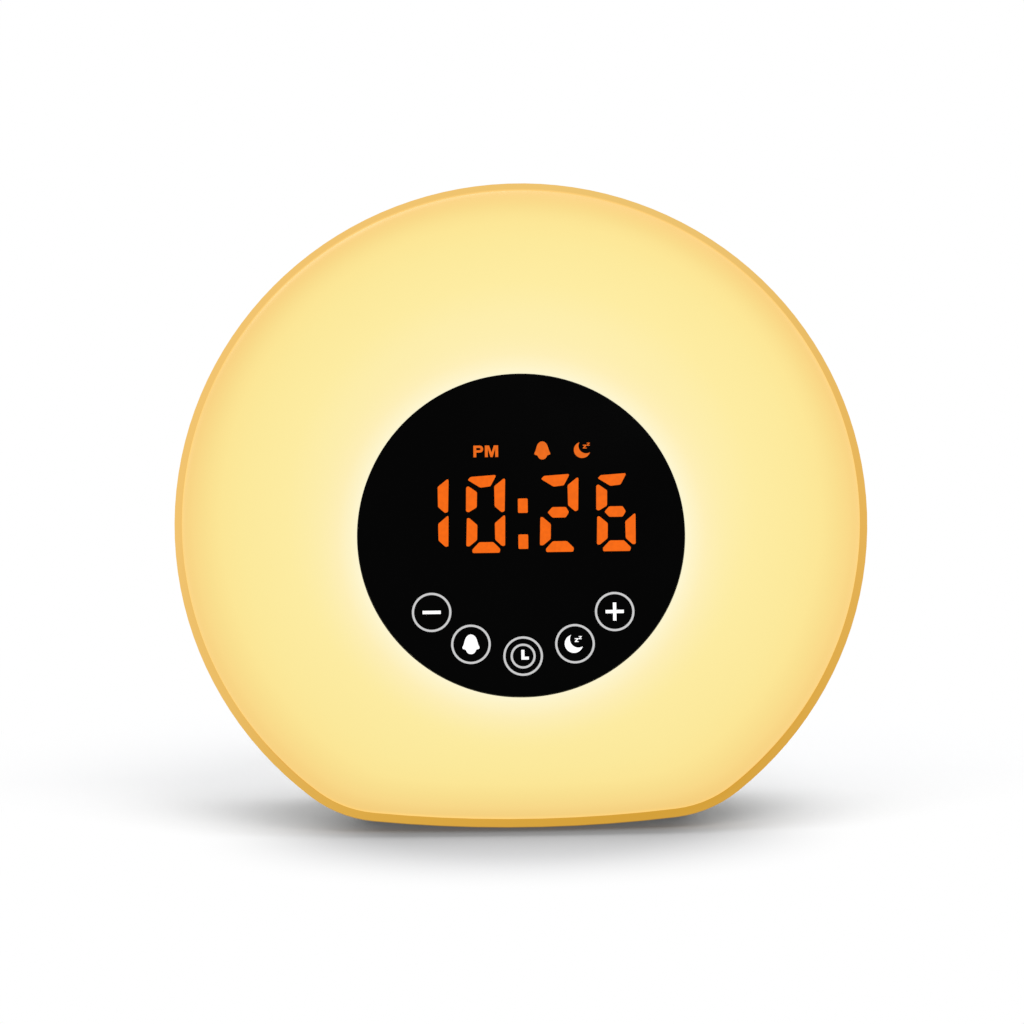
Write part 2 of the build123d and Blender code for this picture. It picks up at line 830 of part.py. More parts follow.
def button_plunger(x, y):
    """Switch plunger that follows the button."""
    flange_low = -housing_wall - button_gap - button_flange_thickness
    return on_back(disc(plunger_radius, flange_low - plunger_length, flange_low, x, y))


def switch_bodies():
    """Switch bodies on the button board, each with the bore that its plunger runs in."""
    low = button_board_depth()
    parts = []
    for x, y in button_spots():
        body = block(switch_size, switch_size, low, low + switch_depth, x, y)
        bore = disc(plunger_radius + plunger_gap, low + switch_floor, far, x, y)
        parts.append(body - bore)
    return on_back(Compound(parts))


def button_board():
    width, height = button_board_size
    high = button_board_depth()
    board = block(width, height, high - board_thickness, high, y=button_height)
    holes = [disc(small_screw_radius + hole_clearance, -far, far, x, y) for x, y in button_post_spots()]
    return on_back(board - holes)


def button_board_screws():
    seat = button_board_depth() - board_thickness
    parts = [back_screw(small_screw_radius, button_screw_length, x, y, seat) for x, y in button_post_spots()]
    return on_back(Compound(parts))


# --- batteries ----------------------------------------------------------------------------
def cell_rows():
    first = pocket_bottom + cell_side_gap + cell_radius
    return [first + index * (2 * cell_radius + cell_gap) for index in range(cell_count)]


def cell_axis_depth():
    return pocket_floor() + cell_floor_gap + cell_radius


def contact_inner_face():
    return pocket_width() / 2 - contact_thickness


def battery_cells():
    """Three AAA cells, turned end for end row by row."""
    parts = []
    depth = cell_axis_depth()
    nub_end = contact_inner_face()
    for index, y in enumerate(cell_rows()):
        cell = disc(cell_radius, 0, cell_length) + disc(cell_nub_radius, 0, cell_length + cell_nub_length)
        start = nub_end - cell_length - cell_nub_length
        way = -1 if index % 2 else 1
        parts.append(Pos(way * start, y, depth) * Rot(0, 90 * way, 0) * cell)
    return on_back(Compound(parts))


def battery_contacts():
    """Flat nickelled plates at both ends of each row."""
    parts = []
    depth = cell_axis_depth()
    for y in cell_rows():
        for side in (-1, 1):
            x = side * (pocket_width() - contact_thickness) / 2
            low = depth - contact_height / 2
            parts.append(block(contact_thickness, contact_height, low, low + contact_height, x, y))
    return on_back(Compound(parts))


def battery_springs():
    """Conical wire spring between the flat end of each cell and its contact."""
    parts = []
    depth = cell_axis_depth()
    cell_end = contact_inner_face() - cell_length - cell_nub_length
    room = cell_end + contact_inner_face()
    height = room - 2 * contact_spring_wire - 2 * contact_spring_gap
    pitch = height / contact_spring_turns
    coil = Helix(pitch, height, contact_spring_radius, cone_angle=-contact_spring_cone)
    wire = sweep(Plane(origin=coil @ 0, z_dir=coil % 0) * Circle(contact_spring_wire), coil)
    for index, y in enumerate(cell_rows()):
        side = -1 if index % 2 == 0 else 1
        x = side * (contact_inner_face() - contact_spring_wire - contact_spring_gap)
        parts.append(Pos(x, y, depth) * Rot(0, -90 * side, 0) * wire)
    return on_back(Compound(parts))


def battery_door():
    """Door plate in its step, with finger ridges outside."""
    width = pocket_width() + 2 * door_lip - 2 * door_gap
    height = pocket_height() + 2 * door_lip - 2 * door_gap
    plate = rounded_block(width, height, door_corner_radius - door_gap, -door_thickness, 0, y=pocket_middle())
    first = pocket_middle() + height / 2 - ridge_inset
    rows = [first + step * ridge_pitch for step in range(ridge_count)]
    cuts = [block(*ridge_size, -ridge_depth, past, y=row) for row in rows]
    return on_back(plate - cuts)


# --- power socket -------------------------------------------------------------------------
def power_socket():
    """Round socket with an outside flange and an open barrel."""
    barrel = disc(jack_barrel_radius, -jack_body_depth, jack_flange)
    flange = disc(jack_flange_radius, 0, jack_flange)
    bore = disc(jack_bore_radius, jack_flange - jack_bore_depth, jack_flange + past)
    body = barrel + flange - bore
    mouth = body.edges().filter_by(GeomType.CIRCLE).group_by(Axis.Z)[-1]
    return on_back(Pos(*jack_spot(), 0) * chamfer(mouth, jack_edge))


def power_socket_pin():
    low = jack_flange - jack_bore_depth
    pin = disc(jack_pin_radius, low, -jack_pin_set)
    tip = pin.edges().sort_by(Axis.Z)[-1:]
    return on_back(Pos(*jack_spot(), 0) * fillet(tip, jack_pin_radius / 2))


def power_socket_nut():
    nut = extrude(RegularPolygon(jack_nut_radius, 6), jack_nut_height)
    nut = Pos(*jack_spot(), -housing_wall - jack_nut_height) * nut
    hole = disc(jack_barrel_radius + pilot_clearance, -far, far, *jack_spot())
    return on_back(nut - hole)


# --- main board ---------------------------------------------------------------------------
def main_board_seat():
    """Back frame height of the main board's inner face, where screws and components sit."""
    return main_board_face() - board_thickness


def main_board():
    width, height = main_board_size
    board = block(width, height, main_board_seat(), main_board_face(), y=main_board_height)
    holes = [disc(screw_radius + hole_clearance, -far, far, x, y) for x, y in main_post_spots()]
    return on_back(board - holes)


def main_board_screws():
    seat = main_board_seat()
    parts = [back_screw(screw_radius, main_screw_length, x, y, seat) for x, y in main_post_spots()]
    return on_back(Compound(parts))


def main_board_chips():
    """Processor, radio and amplifier chips on the board's inner face."""
    face = main_board_seat()
    parts = [
        block(width, height, face - thickness, face, x, main_board_height + y)
        for x, y, width, height, thickness in chip_spots
    ]
    return on_back(Compound(parts))


def board_connectors():
    """Cable connectors on the main board: the display's and the speaker's."""
    face = main_board_seat()
    sockets = (
        (ribbon_connector, ribbon_width + 2 * connector_margin),
        (lead_connector, lead_connector_width),
    )
    parts = [
        block(width, connector_depth, face - connector_height, face, x, main_board_height + y)
        for (x, y), width in sockets
    ]
    return on_back(Compound(parts))


def main_board_capacitors():
    """Upright electrolytic capacitors."""
    face = main_board_seat()
    parts = [
        disc(radius, face - height, face, x, main_board_height + y)
        for x, y, radius, height in capacitor_spots
    ]
    return on_back(Compound(parts))


def connector_tip():
    """Part's y of the connectors' open ends."""
    return back_y + main_board_seat() - connector_height


def display_ribbon():
    """Flat cable from the back of the touch board, through the reflector, to its connector."""
    x, y = ribbon_connector
    start = face_plane.from_local_coords((0, ribbon_start - window_drop, touch_board_height))
    out = face_plane.from_local_coords((0, ribbon_start - window_drop, touch_board_height - ribbon_straight))
    end_z = main_board_height + y
    path = FilletPolyline(
        (start.Y, start.Z),
        (out.Y, out.Z),
        (connector_tip() - ribbon_straight / 2, end_z),
        (connector_tip(), end_z),
        radius=ribbon_bend,
    )
    strip = extrude(trace(path, ribbon_thickness), ribbon_width)
    return Pos(-x - ribbon_width / 2, 0, 0) * (Plane.YZ * strip)


def speaker_leads():
    """Two wires from the speaker's magnet side down to their connector."""
    x, y = lead_connector
    magnet_spread, magnet_rise = lead_magnet_spot
    magnet_back = -housing_wall - gasket_thickness - speaker_depth - basket_sheet - magnet_depth
    start_y = back_y + magnet_back - pole_plate_thickness
    parts = []
    for side in (-1, 1):
        start = Vector(side * magnet_spread, start_y, speaker_height + magnet_rise)
        end = Vector(-x + side * lead_pitch / 2, connector_tip(), main_board_height + y)
        knee = Vector(start.X, start.Y - lead_straight, start.Z)
        below = Vector(end.X, end.Y - lead_straight, end.Z)
        path = FilletPolyline(start, knee, below, end, radius=lead_bend)
        parts.append(sweep(Plane(origin=path @ 0, z_dir=path % 0) * Circle(lead_radius), path))
    return Compound(parts)


# --- feet ---------------------------------------------------------------------------------
def rubber_feet():
    rim_y = -face_drop * math.sin(lean)
    parts = [
        disc(foot_radius, 0, base_z, side * foot_spread, rim_y + foot_set)
        for side in (-1, 1)
        for foot_set in (front_foot_set, rear_foot_set)
    ]
    return Compound(parts)


def all_parts():
    """Every node of the clock by name."""
    nodes = {
        "front_diffuser": front_diffuser(),
        "display_window": display_window(),
        "window_carrier": window_carrier(),
        "touch_board": touch_board(),
        "touch_board_screws": touch_board_screws(),
        "touch_pads": touch_pads(),
        "digit_module": digit_module(),
        "digit_segments": digit_segments(),
        "reflector_plate": reflector_plate(),
        "reflector_screws": reflector_screws(),
        "carrier_screws": carrier_screws(),
        "ring_light_board": ring_light_board(),
        "ring_light_leds": ring_light_leds(),
        "rear_housing": rear_housing(),
        "speaker_gasket": speaker_gasket(),
        "speaker_basket": speaker_basket(),
        "speaker_magnet": speaker_magnet(),
        "speaker_cone": speaker_cone(),
        "speaker_clamps": speaker_clamps(),
        "speaker_clamp_screws": speaker_clamp_screws(),
        "switch_bodies": switch_bodies(),
        "button_board": button_board(),
        "button_board_screws": button_board_screws(),
        "battery_cells": battery_cells(),
        "battery_contacts": battery_contacts(),
        "battery_springs": battery_springs(),
        "battery_door": battery_door(),
        "power_socket": power_socket(),
        "power_socket_pin": power_socket_pin(),
        "power_socket_nut": power_socket_nut(),
        "main_board": main_board(),
        "main_board_screws": main_board_screws(),
        "main_board_chips": main_board_chips(),
        "main_board_capacitors": main_board_capacitors(),
        "board_connectors": board_connectors(),
        "display_ribbon": display_ribbon(),
        "speaker_leads": speaker_leads(),
        "rubber_feet": rubber_feet(),
    }
    for name, (x, y) in zip(button_names, button_spots()):
        nodes[name + "_button"] = button_cap(x, y)
        nodes[name + "_switch_plunger"] = button_plunger(x, y)
    return nodes


def main():
    nodes = all_parts()
    front_y = nodes["front_diffuser"].bounding_box().min.Y
    shift = -(front_y + back_y + button_proud) / 2
    os.makedirs("parts", exist_ok=True)
    for name, shape in nodes.items():
        export_step(Pos(0, shift, 0) * shape, f"parts/{name}.step")


main()
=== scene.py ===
import bpy
import math
from mathutils import Matrix, Vector


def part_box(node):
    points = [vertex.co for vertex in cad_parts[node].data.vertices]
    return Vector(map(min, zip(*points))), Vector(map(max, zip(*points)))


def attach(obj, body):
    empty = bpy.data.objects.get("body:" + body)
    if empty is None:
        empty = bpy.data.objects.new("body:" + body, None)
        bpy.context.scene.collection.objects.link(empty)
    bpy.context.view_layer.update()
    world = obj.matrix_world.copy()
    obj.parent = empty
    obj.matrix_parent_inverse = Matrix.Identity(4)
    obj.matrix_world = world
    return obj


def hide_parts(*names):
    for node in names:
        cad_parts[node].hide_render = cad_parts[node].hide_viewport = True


# Sunrise alarm clock: the lit face, the printed and lit signs, the materials, and the studio round it.
# Lengths are in millimetres in the face's own axes (u right, v up the face, w out of it) until mm() turns
# them into metres. Bump depths and the studio's lengths are in metres. Colours run from 0 to 255 where lin()
# takes them, and are linear elsewhere.

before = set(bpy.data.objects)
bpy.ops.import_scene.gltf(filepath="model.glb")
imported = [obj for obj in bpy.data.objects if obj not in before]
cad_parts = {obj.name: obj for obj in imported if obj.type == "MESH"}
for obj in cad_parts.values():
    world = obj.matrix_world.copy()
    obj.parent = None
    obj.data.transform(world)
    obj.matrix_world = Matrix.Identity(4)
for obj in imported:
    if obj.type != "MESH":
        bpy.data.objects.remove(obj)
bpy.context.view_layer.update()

# --- sizes that follow the construction ----------------------------------------------------------
FACE_RADIUS = 85.0
CORNER_RADIUS = 30.0
BOTTOM_RADIUS = 340.0
FACE_DROP = 75.5
FACE_LEAN = math.radians(10.0)
BODY_DEPTH = 76.0
RIM_CLEARANCE = 0.5
RIM_WIDTH = 1.9
FIT_GAP = 0.15
RIM_DEPTH = 3.2
DIFFUSER_WALL = 2.2
WINDOW_RADIUS = 39.3
WINDOW_DROP = 6.3
WINDOW_FACE = 15.0
WINDOW_THICKNESS = 1.6
CROWN_RADIUS = 420.0
SHOULDER_RADIUS = 7.5
BUTTON_HEIGHT = 60.5
BUTTON_SPACING = 17.0

# --- sizes of the looks only -----------------------------------------------------------------------
SMOOTH_ANGLE = math.radians(35.0)
SHELL_STEPS = 600
CROWN_ROWS = 26
WALL_LEVELS = (-1.0, 2.0)  # rows of points up the lit face's outer wall
RECESS_LIP = 0.35  # rounding of its edge round the window
RECESS_SLOPE = 0.4  # how far the recess falls behind the window's edge
INNER_EDGE = 2.0  # how far its inner side stays within the shoulder
SHELL_FOOT = 1.5  # where its inner side meets the wall
RING_STEPS = 96
CLOCK_HEIGHT = 159.0

DIFFUSER_INSET = RIM_WIDTH + FIT_GAP
BACK_PLANE = 1000.0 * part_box("battery_door")[1][1]
RIM_FOOT = FACE_DROP * math.cos(FACE_LEAN) + RIM_DEPTH * math.sin(FACE_LEAN)
RIM_CENTRE = (0.0, BACK_PLANE - BODY_DEPTH * math.cos(FACE_LEAN), RIM_CLEARANCE + RIM_FOOT)
OPENING_RADIUS = WINDOW_RADIUS + FIT_GAP
BOTTOM_V = BOTTOM_RADIUS - FACE_DROP


def mm(value):
    """Millimetres as metres."""
    return value / 1000.0


FACE_AXES = Matrix((
    (1, 0, 0, mm(RIM_CENTRE[0])),
    (0, math.sin(FACE_LEAN), -math.cos(FACE_LEAN), mm(RIM_CENTRE[1])),
    (0, math.cos(FACE_LEAN), math.sin(FACE_LEAN), mm(RIM_CENTRE[2])),
    (0, 0, 0, 1),
))


def lin(red, green, blue):
    """A display colour from 0 to 255 as the linear colour that renders as it."""
    out = []
    for level in (red, green, blue):
        part = level / 255.0
        out.append(part / 12.92 if part <= 0.04045 else ((part + 0.055) / 1.055) ** 2.4)
    return (*out, 1.0)


# --- material graphs ----------------------------------------------------------------------
class Graph:
    """One principled material and the few kinds of node that the materials here are made of."""

    def __init__(self, name):
        self.material = bpy.data.materials.new(name)
        self.material.use_nodes = True
        self.tree = self.material.node_tree
        self.tree.nodes.clear()
        self.shader = self.add("ShaderNodeBsdfPrincipled")
        self.output = self.add("ShaderNodeOutputMaterial")
        self.tree.links.new(self.shader.outputs[0], self.output.inputs["Surface"])
        self.coordinates = self.add("ShaderNodeTexCoord").outputs["Object"]

    def add(self, kind):
        return self.tree.nodes.new(kind)

    def feed(self, socket, value):
        if isinstance(value, bpy.types.NodeSocket):
            self.tree.links.new(value, socket)
        else:
            socket.default_value = value

    def set(self, **values):
        for name, value in values.items():
            self.feed(self.shader.inputs[name.replace("_", " ")], value)
        return self

    def math(self, operation, a, b=None, c=None):
        node = self.add("ShaderNodeMath")
        node.operation = operation
        for socket, value in zip(node.inputs, (a, b, c)):
            if value is not None:
                self.feed(socket, value)
        return node.outputs[0]

    def parts(self, vector=None):
        node = self.add("ShaderNodeSeparateXYZ")
        self.feed(node.inputs[0], vector or self.coordinates)
        return node.outputs

    def on_face(self):
        """The place in the face's own axes, in metres."""
        node = self.add("ShaderNodeMapping")
        node.vector_type = "TEXTURE"
        self.feed(node.inputs["Vector"], self.coordinates)
        node.inputs["Location"].default_value = FACE_AXES.translation
        node.inputs["Rotation"].default_value = FACE_AXES.to_euler()
        return node.outputs[0]

    def scaled(self, x, y, z):
        node = self.add("ShaderNodeMapping")
        self.feed(node.inputs["Vector"], self.coordinates)
        node.inputs["Scale"].default_value = (x, y, z)
        return node.outputs[0]

    def noise(self, scale, detail=2.0, vector=None, rough=0.5):
        node = self.add("ShaderNodeTexNoise")
        self.feed(node.inputs["Vector"], vector or self.coordinates)
        node.inputs["Scale"].default_value = scale
        node.inputs["Detail"].default_value = detail
        node.inputs["Roughness"].default_value = rough
        return node.outputs["Fac"]

    def cells(self, scale):
        node = self.add("ShaderNodeTexVoronoi")
        self.feed(node.inputs["Vector"], self.coordinates)
        node.inputs["Scale"].default_value = scale
        return node.outputs["Distance"]

    def span(self, value, low, high, to_low=0.0, to_high=1.0, smooth=True):
        node = self.add("ShaderNodeMapRange")
        node.interpolation_type = "SMOOTHSTEP" if smooth else "LINEAR"
        self.feed(node.inputs["Value"], value)
        for name, number in (("From Min", low), ("From Max", high), ("To Min", to_low), ("To Max", to_high)):
            node.inputs[name].default_value = number
        return node.outputs["Result"]

    def ramp(self, factor, stops):
        """Colours from 0 to 255 at places along the factor."""
        node = self.add("ShaderNodeValToRGB")
        elements = node.color_ramp.elements
        while len(elements) < len(stops):
            elements.new(1.0)
        for element, (place, levels) in zip(elements, stops):
            element.position = place
            element.color = lin(*levels)
        self.feed(node.inputs["Fac"], factor)
        return node.outputs["Color"]

    def mix(self, factor, a, b):
        node = self.add("ShaderNodeMix")
        node.data_type = "RGBA"
        self.feed(node.inputs[0], factor)
        self.feed(node.inputs[6], a)
        self.feed(node.inputs[7], b)
        return node.outputs[2]

    def bump(self, height, strength, distance):
        node = self.add("ShaderNodeBump")
        node.inputs["Strength"].default_value = strength
        node.inputs["Distance"].default_value = distance
        self.feed(node.inputs["Height"], height)
        self.set(Normal=node.outputs[0])
        return self


# Texture scales, in cells per metre.
METAL_STREAKS = (400.0, 400.0, 4000.0)
BOARD_TRACKS = 260.0
BOARD_PADS = 330.0


def moulded(name, colour, roughness, grain=2500.0, depth=0.00002, specular=0.4):
    """Injection-moulded plastic: fine spark texture, faint shade and gloss changes."""
    graph = Graph(name)
    slow = graph.noise(35.0, 3.0)
    fine = graph.noise(grain, 2.0)
    shade = tuple(0.93 * part for part in colour[:3]) + (1.0,)
    graph.set(Base_Color=graph.mix(graph.span(slow, 0.3, 0.7), shade, colour), Specular_IOR_Level=specular,
              Roughness=graph.span(slow, 0.3, 0.7, roughness - 0.05, roughness + 0.06))
    return graph.bump(fine, 0.25, depth)


def metal(name, colour, roughness):
    """Drawn or plated metal: fine streaks all one way and dull patches."""
    graph = Graph(name)
    streaks = graph.noise(1.0, 3.0, graph.scaled(*METAL_STREAKS))
    patches = graph.noise(180.0, 2.0)
    dull = tuple(0.72 * part for part in colour[:3]) + (1.0,)
    graph.set(Base_Color=graph.mix(graph.span(patches, 0.35, 0.7), colour, dull), Metallic=1.0,
              Roughness=graph.span(streaks, 0.2, 0.8, roughness - 0.08, roughness + 0.12))
    return graph.bump(streaks, 0.2, 0.00001)


def circuit_board(name, mask_colour, track_colour):
    """Solder mask with tracks running under it and tinned pads."""
    graph = Graph(name)
    tracks = graph.add("ShaderNodeTexBrick")
    graph.feed(tracks.inputs["Vector"], graph.scaled(BOARD_TRACKS, BOARD_TRACKS, BOARD_TRACKS))
    tracks.inputs["Mortar Size"].default_value = 0.06
    tracks.inputs["Scale"].default_value = 1.0
    pads = graph.span(graph.cells(BOARD_PADS), 0.16, 0.2, 1.0, 0.0)
    ground = graph.mix(tracks.outputs["Fac"], mask_colour, track_colour)
    graph.set(Base_Color=graph.mix(pads, ground, lin(190, 186, 170)), Roughness=0.32)
    return graph.bump(tracks.outputs["Fac"], 0.3, 0.00003)


def speckled(name, colour, light, roughness, scale, depth):
    """Foam, rubber, paper or cast surfaces: two shades in fine cells."""
    graph = Graph(name)
    grain = graph.noise(scale, 4.0, rough=0.65)
    graph.set(Base_Color=graph.mix(graph.span(grain, 0.3, 0.7), colour, light), Roughness=roughness)
    return graph.bump(grain, 0.6, depth)


def lit(name, colour, glow, strength, edge=0.9):
    """A light-emitting resin with a slightly uneven glow."""
    graph = Graph(name)
    uneven = graph.noise(900.0, 2.0)
    dim = tuple(edge * part for part in glow[:3]) + (1.0,)
    return graph.set(Base_Color=colour, Roughness=0.35, Specular_IOR_Level=0.08, Emission_Strength=strength,
                     Emission_Color=graph.mix(graph.span(uneven, 0.3, 0.7), dim, glow))


# --- glow of the face and of the rim ----------------------------------------------------------
def corner_centre():
    """Centre of the small arc between the face's round edge and its flat bottom edge."""
    reach_round = FACE_RADIUS - CORNER_RADIUS
    reach_bottom = BOTTOM_RADIUS - CORNER_RADIUS
    v = (reach_round ** 2 - reach_bottom ** 2 + BOTTOM_V ** 2) / (2 * BOTTOM_V)
    return math.sqrt(reach_round ** 2 - v ** 2), v


CORNER_U, CORNER_V = corner_centre()


def face_distance(graph, u, v, centre_u, centre_v):
    """Distance across the face from one of its points."""
    across = graph.math("SUBTRACT", u, mm(centre_u))
    along = graph.math("SUBTRACT", v, mm(centre_v))
    return graph.math("SQRT", graph.math("ADD", graph.math("MULTIPLY", across, across),
                                         graph.math("MULTIPLY", along, along)))


EDGE_GLOW_SPAN = (1.5, 51.5)
EDGE_GLOW = (
    (0.00, (245, 204, 120)), (0.08, (249, 217, 136)), (0.14, (249, 223, 142)), (0.22, (251, 230, 150)),
    (0.32, (251, 233, 155)), (0.54, (252, 236, 162)), (0.70, (252, 238, 172)), (1.00, (253, 240, 184)),
)
WINDOW_GLOW_WIDTH = 14.0
WINDOW_GLOW = (
    (0.00, (253, 247, 212)), (0.12, (253, 244, 201)), (0.35, (253, 240, 187)), (0.70, (252, 238, 176)),
    (1.00, (252, 236, 167)),
)
BOTTOM_GLOW_SHARPNESS = 1.35
CORNER_GLOW_ROUNDING = 9.0


def face_glow(graph, u, v):
    """Colour of the lit face: deep yellow at the edge, paler inwards, near white round the window."""
    round_inset = graph.math("SUBTRACT", mm(FACE_RADIUS), face_distance(graph, u, v, 0.0, 0.0))
    bottom_inset = graph.math("SUBTRACT", mm(BOTTOM_RADIUS), face_distance(graph, u, v, 0.0, BOTTOM_V))
    bottom_inset = graph.math("MULTIPLY", bottom_inset, BOTTOM_GLOW_SHARPNESS)
    inset = graph.math("SMOOTH_MIN", round_inset, bottom_inset, mm(CORNER_GLOW_ROUNDING))
    outer = graph.ramp(graph.span(inset, *map(mm, EDGE_GLOW_SPAN), smooth=False), EDGE_GLOW)
    gap = graph.math("SUBTRACT", face_distance(graph, u, v, 0.0, -WINDOW_DROP), mm(OPENING_RADIUS))
    ring = graph.ramp(graph.span(gap, 0.0, mm(WINDOW_GLOW_WIDTH), smooth=False), WINDOW_GLOW)
    near = graph.span(gap, mm(1.0), mm(WINDOW_GLOW_WIDTH), 1.0, 0.0)
    return graph.mix(near, outer, ring), inset


def diffuser_material():
    """Opal shell that glows by itself; its upper edge is a shade warmer."""
    graph = Graph("diffuser_opal")
    u, v, _ = graph.parts(graph.on_face())
    glow, inset = face_glow(graph, u, v)
    at_edge = graph.span(inset, mm(2.0), mm(11.0), 0.35, 0.0)
    upper = graph.math("MULTIPLY", graph.span(v, mm(-20.0), mm(80.0)), at_edge)
    warm = graph.mix(upper, glow, lin(238, 186, 100))
    haze = graph.noise(22.0, 3.0)
    glow = graph.mix(graph.span(haze, 0.3, 0.7, 0.0, 0.05), warm, lin(247, 222, 150))
    graph.set(Base_Color=(0.06, 0.04, 0.015, 1.0), Emission_Color=glow, Emission_Strength=0.96,
              Roughness=graph.span(graph.noise(60.0, 2.0), 0.3, 0.7, 0.36, 0.44), Specular_IOR_Level=0.03)
    return graph.bump(graph.noise(1800.0, 2.0), 0.15, 0.00002)


# Painted shade in the rim's glow: lighter on the left, darker on the right, and darker towards the bottom on
# both sides.
RIM_GLOW_SHADED_RIGHT = (
    (0.0, (216, 162, 50)), (0.2, (223, 170, 62)), (0.5, (232, 180, 78)), (1.0, (240, 198, 108)),
)
RIM_GLOW_LIT_LEFT = (
    (0.0, (224, 171, 62)), (0.2, (240, 193, 100)), (0.45, (246, 199, 110)), (1.0, (245, 198, 106)),
)
RIM_BLEND_HALF = 50.0
GLOW_REACH = 16.0
RIM_FACE = (-0.6, -0.1)


def housing_material():
    """White moulded housing. Light from inside colours its rim and fades a little way behind it, painted on
    as glow and as an orange tint; the rim's glow also holds painted shade, lighter on the left and darker on
    the right and towards the bottom.
    """
    graph = moulded("housing_white", lin(238, 236, 230), 0.46, specular=0.2)
    x, _, z = graph.parts()
    depth = graph.parts(graph.on_face())[2]
    height = graph.span(z, 0.0, mm(CLOCK_HEIGHT), smooth=False)
    left, right = graph.ramp(height, RIM_GLOW_LIT_LEFT), graph.ramp(height, RIM_GLOW_SHADED_RIGHT)
    rim_glow_and_shade = graph.mix(graph.span(x, mm(-RIM_BLEND_HALF), mm(RIM_BLEND_HALF)), left, right)
    behind = graph.math("POWER", graph.span(depth, mm(-GLOW_REACH), mm(RIM_FACE[0])), 1.5)
    front = graph.span(depth, *map(mm, RIM_FACE))
    strength = graph.math("ADD", graph.math("MULTIPLY", behind, 0.35), graph.math("MULTIPLY", front, 0.54))
    base = graph.shader.inputs["Base Color"].links[0].from_socket
    # Painted light in the base colour: an orange tint where the inner glow fades behind the rim, and near
    # black on the rim's front, where only the painted glow shows.
    painted_glow_tint = graph.mix(behind, base, (0.55, 0.36, 0.12, 1.0))
    graph.set(Base_Color=graph.mix(front, painted_glow_tint, (0.05, 0.03, 0.01, 1.0)), Emission_Color=rim_glow_and_shade,
              Emission_Strength=strength)
    return graph


# --- mesh helpers --------------------------------------------------------------------------------
def piece(name, verts, faces, finish, slot, body="clock", axes=FACE_AXES, hides=()):
    """A mesh object from points in millimetres in the given axes, riding on a body."""
    mesh = bpy.data.meshes.new(name)
    mesh.from_pydata([axes @ Vector([mm(c) for c in p]) for p in verts], [], faces)
    mesh.validate()
    mesh.shade_smooth()
    mesh.set_sharp_from_angle(angle=SMOOTH_ANGLE)
    mesh.materials.append(finish.material)
    made = bpy.data.objects.new(name, mesh)
    bpy.context.scene.collection.objects.link(made)
    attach(made, body)
    if hides:
        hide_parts(*hides)
    return made


def loft(loops):
    """Quads between rings of equal length; the last ring joins the first."""
    count = len(loops[0])
    verts = [point for loop in loops for point in loop]
    faces = []
    for i in range(len(loops)):
        a = i * count
        b = ((i + 1) % len(loops)) * count
        for k in range(count):
            n = (k + 1) % count
            faces.append((a + k, a + n, b + n, b + k))
    return verts, faces


def plates(shapes, low, high):
    """Thin plates with square edges from closed outlines, all in one mesh."""
    verts, faces = [], []
    for shape in shapes:
        area = sum(a[0] * b[1] - b[0] * a[1] for a, b in zip(shape, shape[1:] + shape[:1]))
        outline = shape if area > 0 else shape[::-1]
        start = len(verts)
        count = len(outline)
        for level in (low, high):
            verts += [(x, y, level) for x, y in outline]
        for k in range(count):
            n = (k + 1) % count
            faces.append((start + k, start + n, start + count + n, start + count + k))
        faces.append(tuple(start + count + k for k in range(count)))
        faces.append(tuple(start + k for k in reversed(range(count))))
    return verts, faces


def rounded(shape, radius, steps=4):
    """A closed outline with each corner turned into a small curve."""
    out = []
    for before, corner, after in zip(shape[-1:] + shape[:-1], shape, shape[1:] + shape[:1]):
        start = toward(corner, before, radius)
        end = toward(corner, after, radius)
        for k in range(steps + 1):
            t = k / steps
            a, b, c = (1 - t) ** 2, 2 * t * (1 - t), t ** 2
            out.append(tuple(a * p + b * q + c * r for p, q, r in zip(start, corner, end)))
    return out


def toward(corner, other, distance):
    """The point this far from a corner towards another, or less on a short side."""
    length = math.dist(corner, other)
    share = min(distance / length, 0.45)
    return corner[0] + share * (other[0] - corner[0]), corner[1] + share * (other[1] - corner[1])


def circle_points(radius, count, u=0.0, v=0.0, start=0.0, turn=360.0):
    """A full circle without its last point again, or an arc with both its ends."""
    full = abs(turn) >= 360.0
    steps = count if full else count - 1
    angles = [math.radians(start + turn * k / steps) for k in range(count)]
    return [(u + radius * math.cos(a), v + radius * math.sin(a)) for a in angles]


def ring_plate(radius, stroke, u, v, low, high):
    """A flat ring with a square section."""
    section = [(radius, low), (radius, high), (radius - stroke, high), (radius - stroke, low)]
    loops = [[(x, y, level) for x, y in circle_points(r, RING_STEPS, u, v)] for r, level in section]
    return loft(loops)


def joined(*meshes):
    """Several meshes' points and faces as one mesh's."""
    verts, faces = [], []
    for more_verts, more_faces in meshes:
        base = len(verts)
        verts += more_verts
        faces += [tuple(base + i for i in face) for face in more_faces]
    return verts, faces


def moved(shape, u, v, scale=1.0):
    """An outline scaled about its origin and then put in its place."""
    return [(u + scale * x, v + scale * y) for x, y in shape]


# --- the lit face --------------------------------------------------------------------------------
SIDE = math.atan2(CORNER_V, CORNER_U)
UNDER = math.atan2(CORNER_V - BOTTOM_V, CORNER_U)


def inside_by(u, v):
    """How far a point lies inside the face outline."""
    angle = math.atan2(v - CORNER_V, abs(u) - CORNER_U)
    if UNDER <= angle <= SIDE:
        return CORNER_RADIUS - math.hypot(abs(u) - CORNER_U, v - CORNER_V)
    from_bottom = math.atan2(v - BOTTOM_V, abs(u))
    if v < CORNER_V and from_bottom < UNDER:
        return BOTTOM_RADIUS - math.hypot(u, v - BOTTOM_V)
    return FACE_RADIUS - math.hypot(u, v)


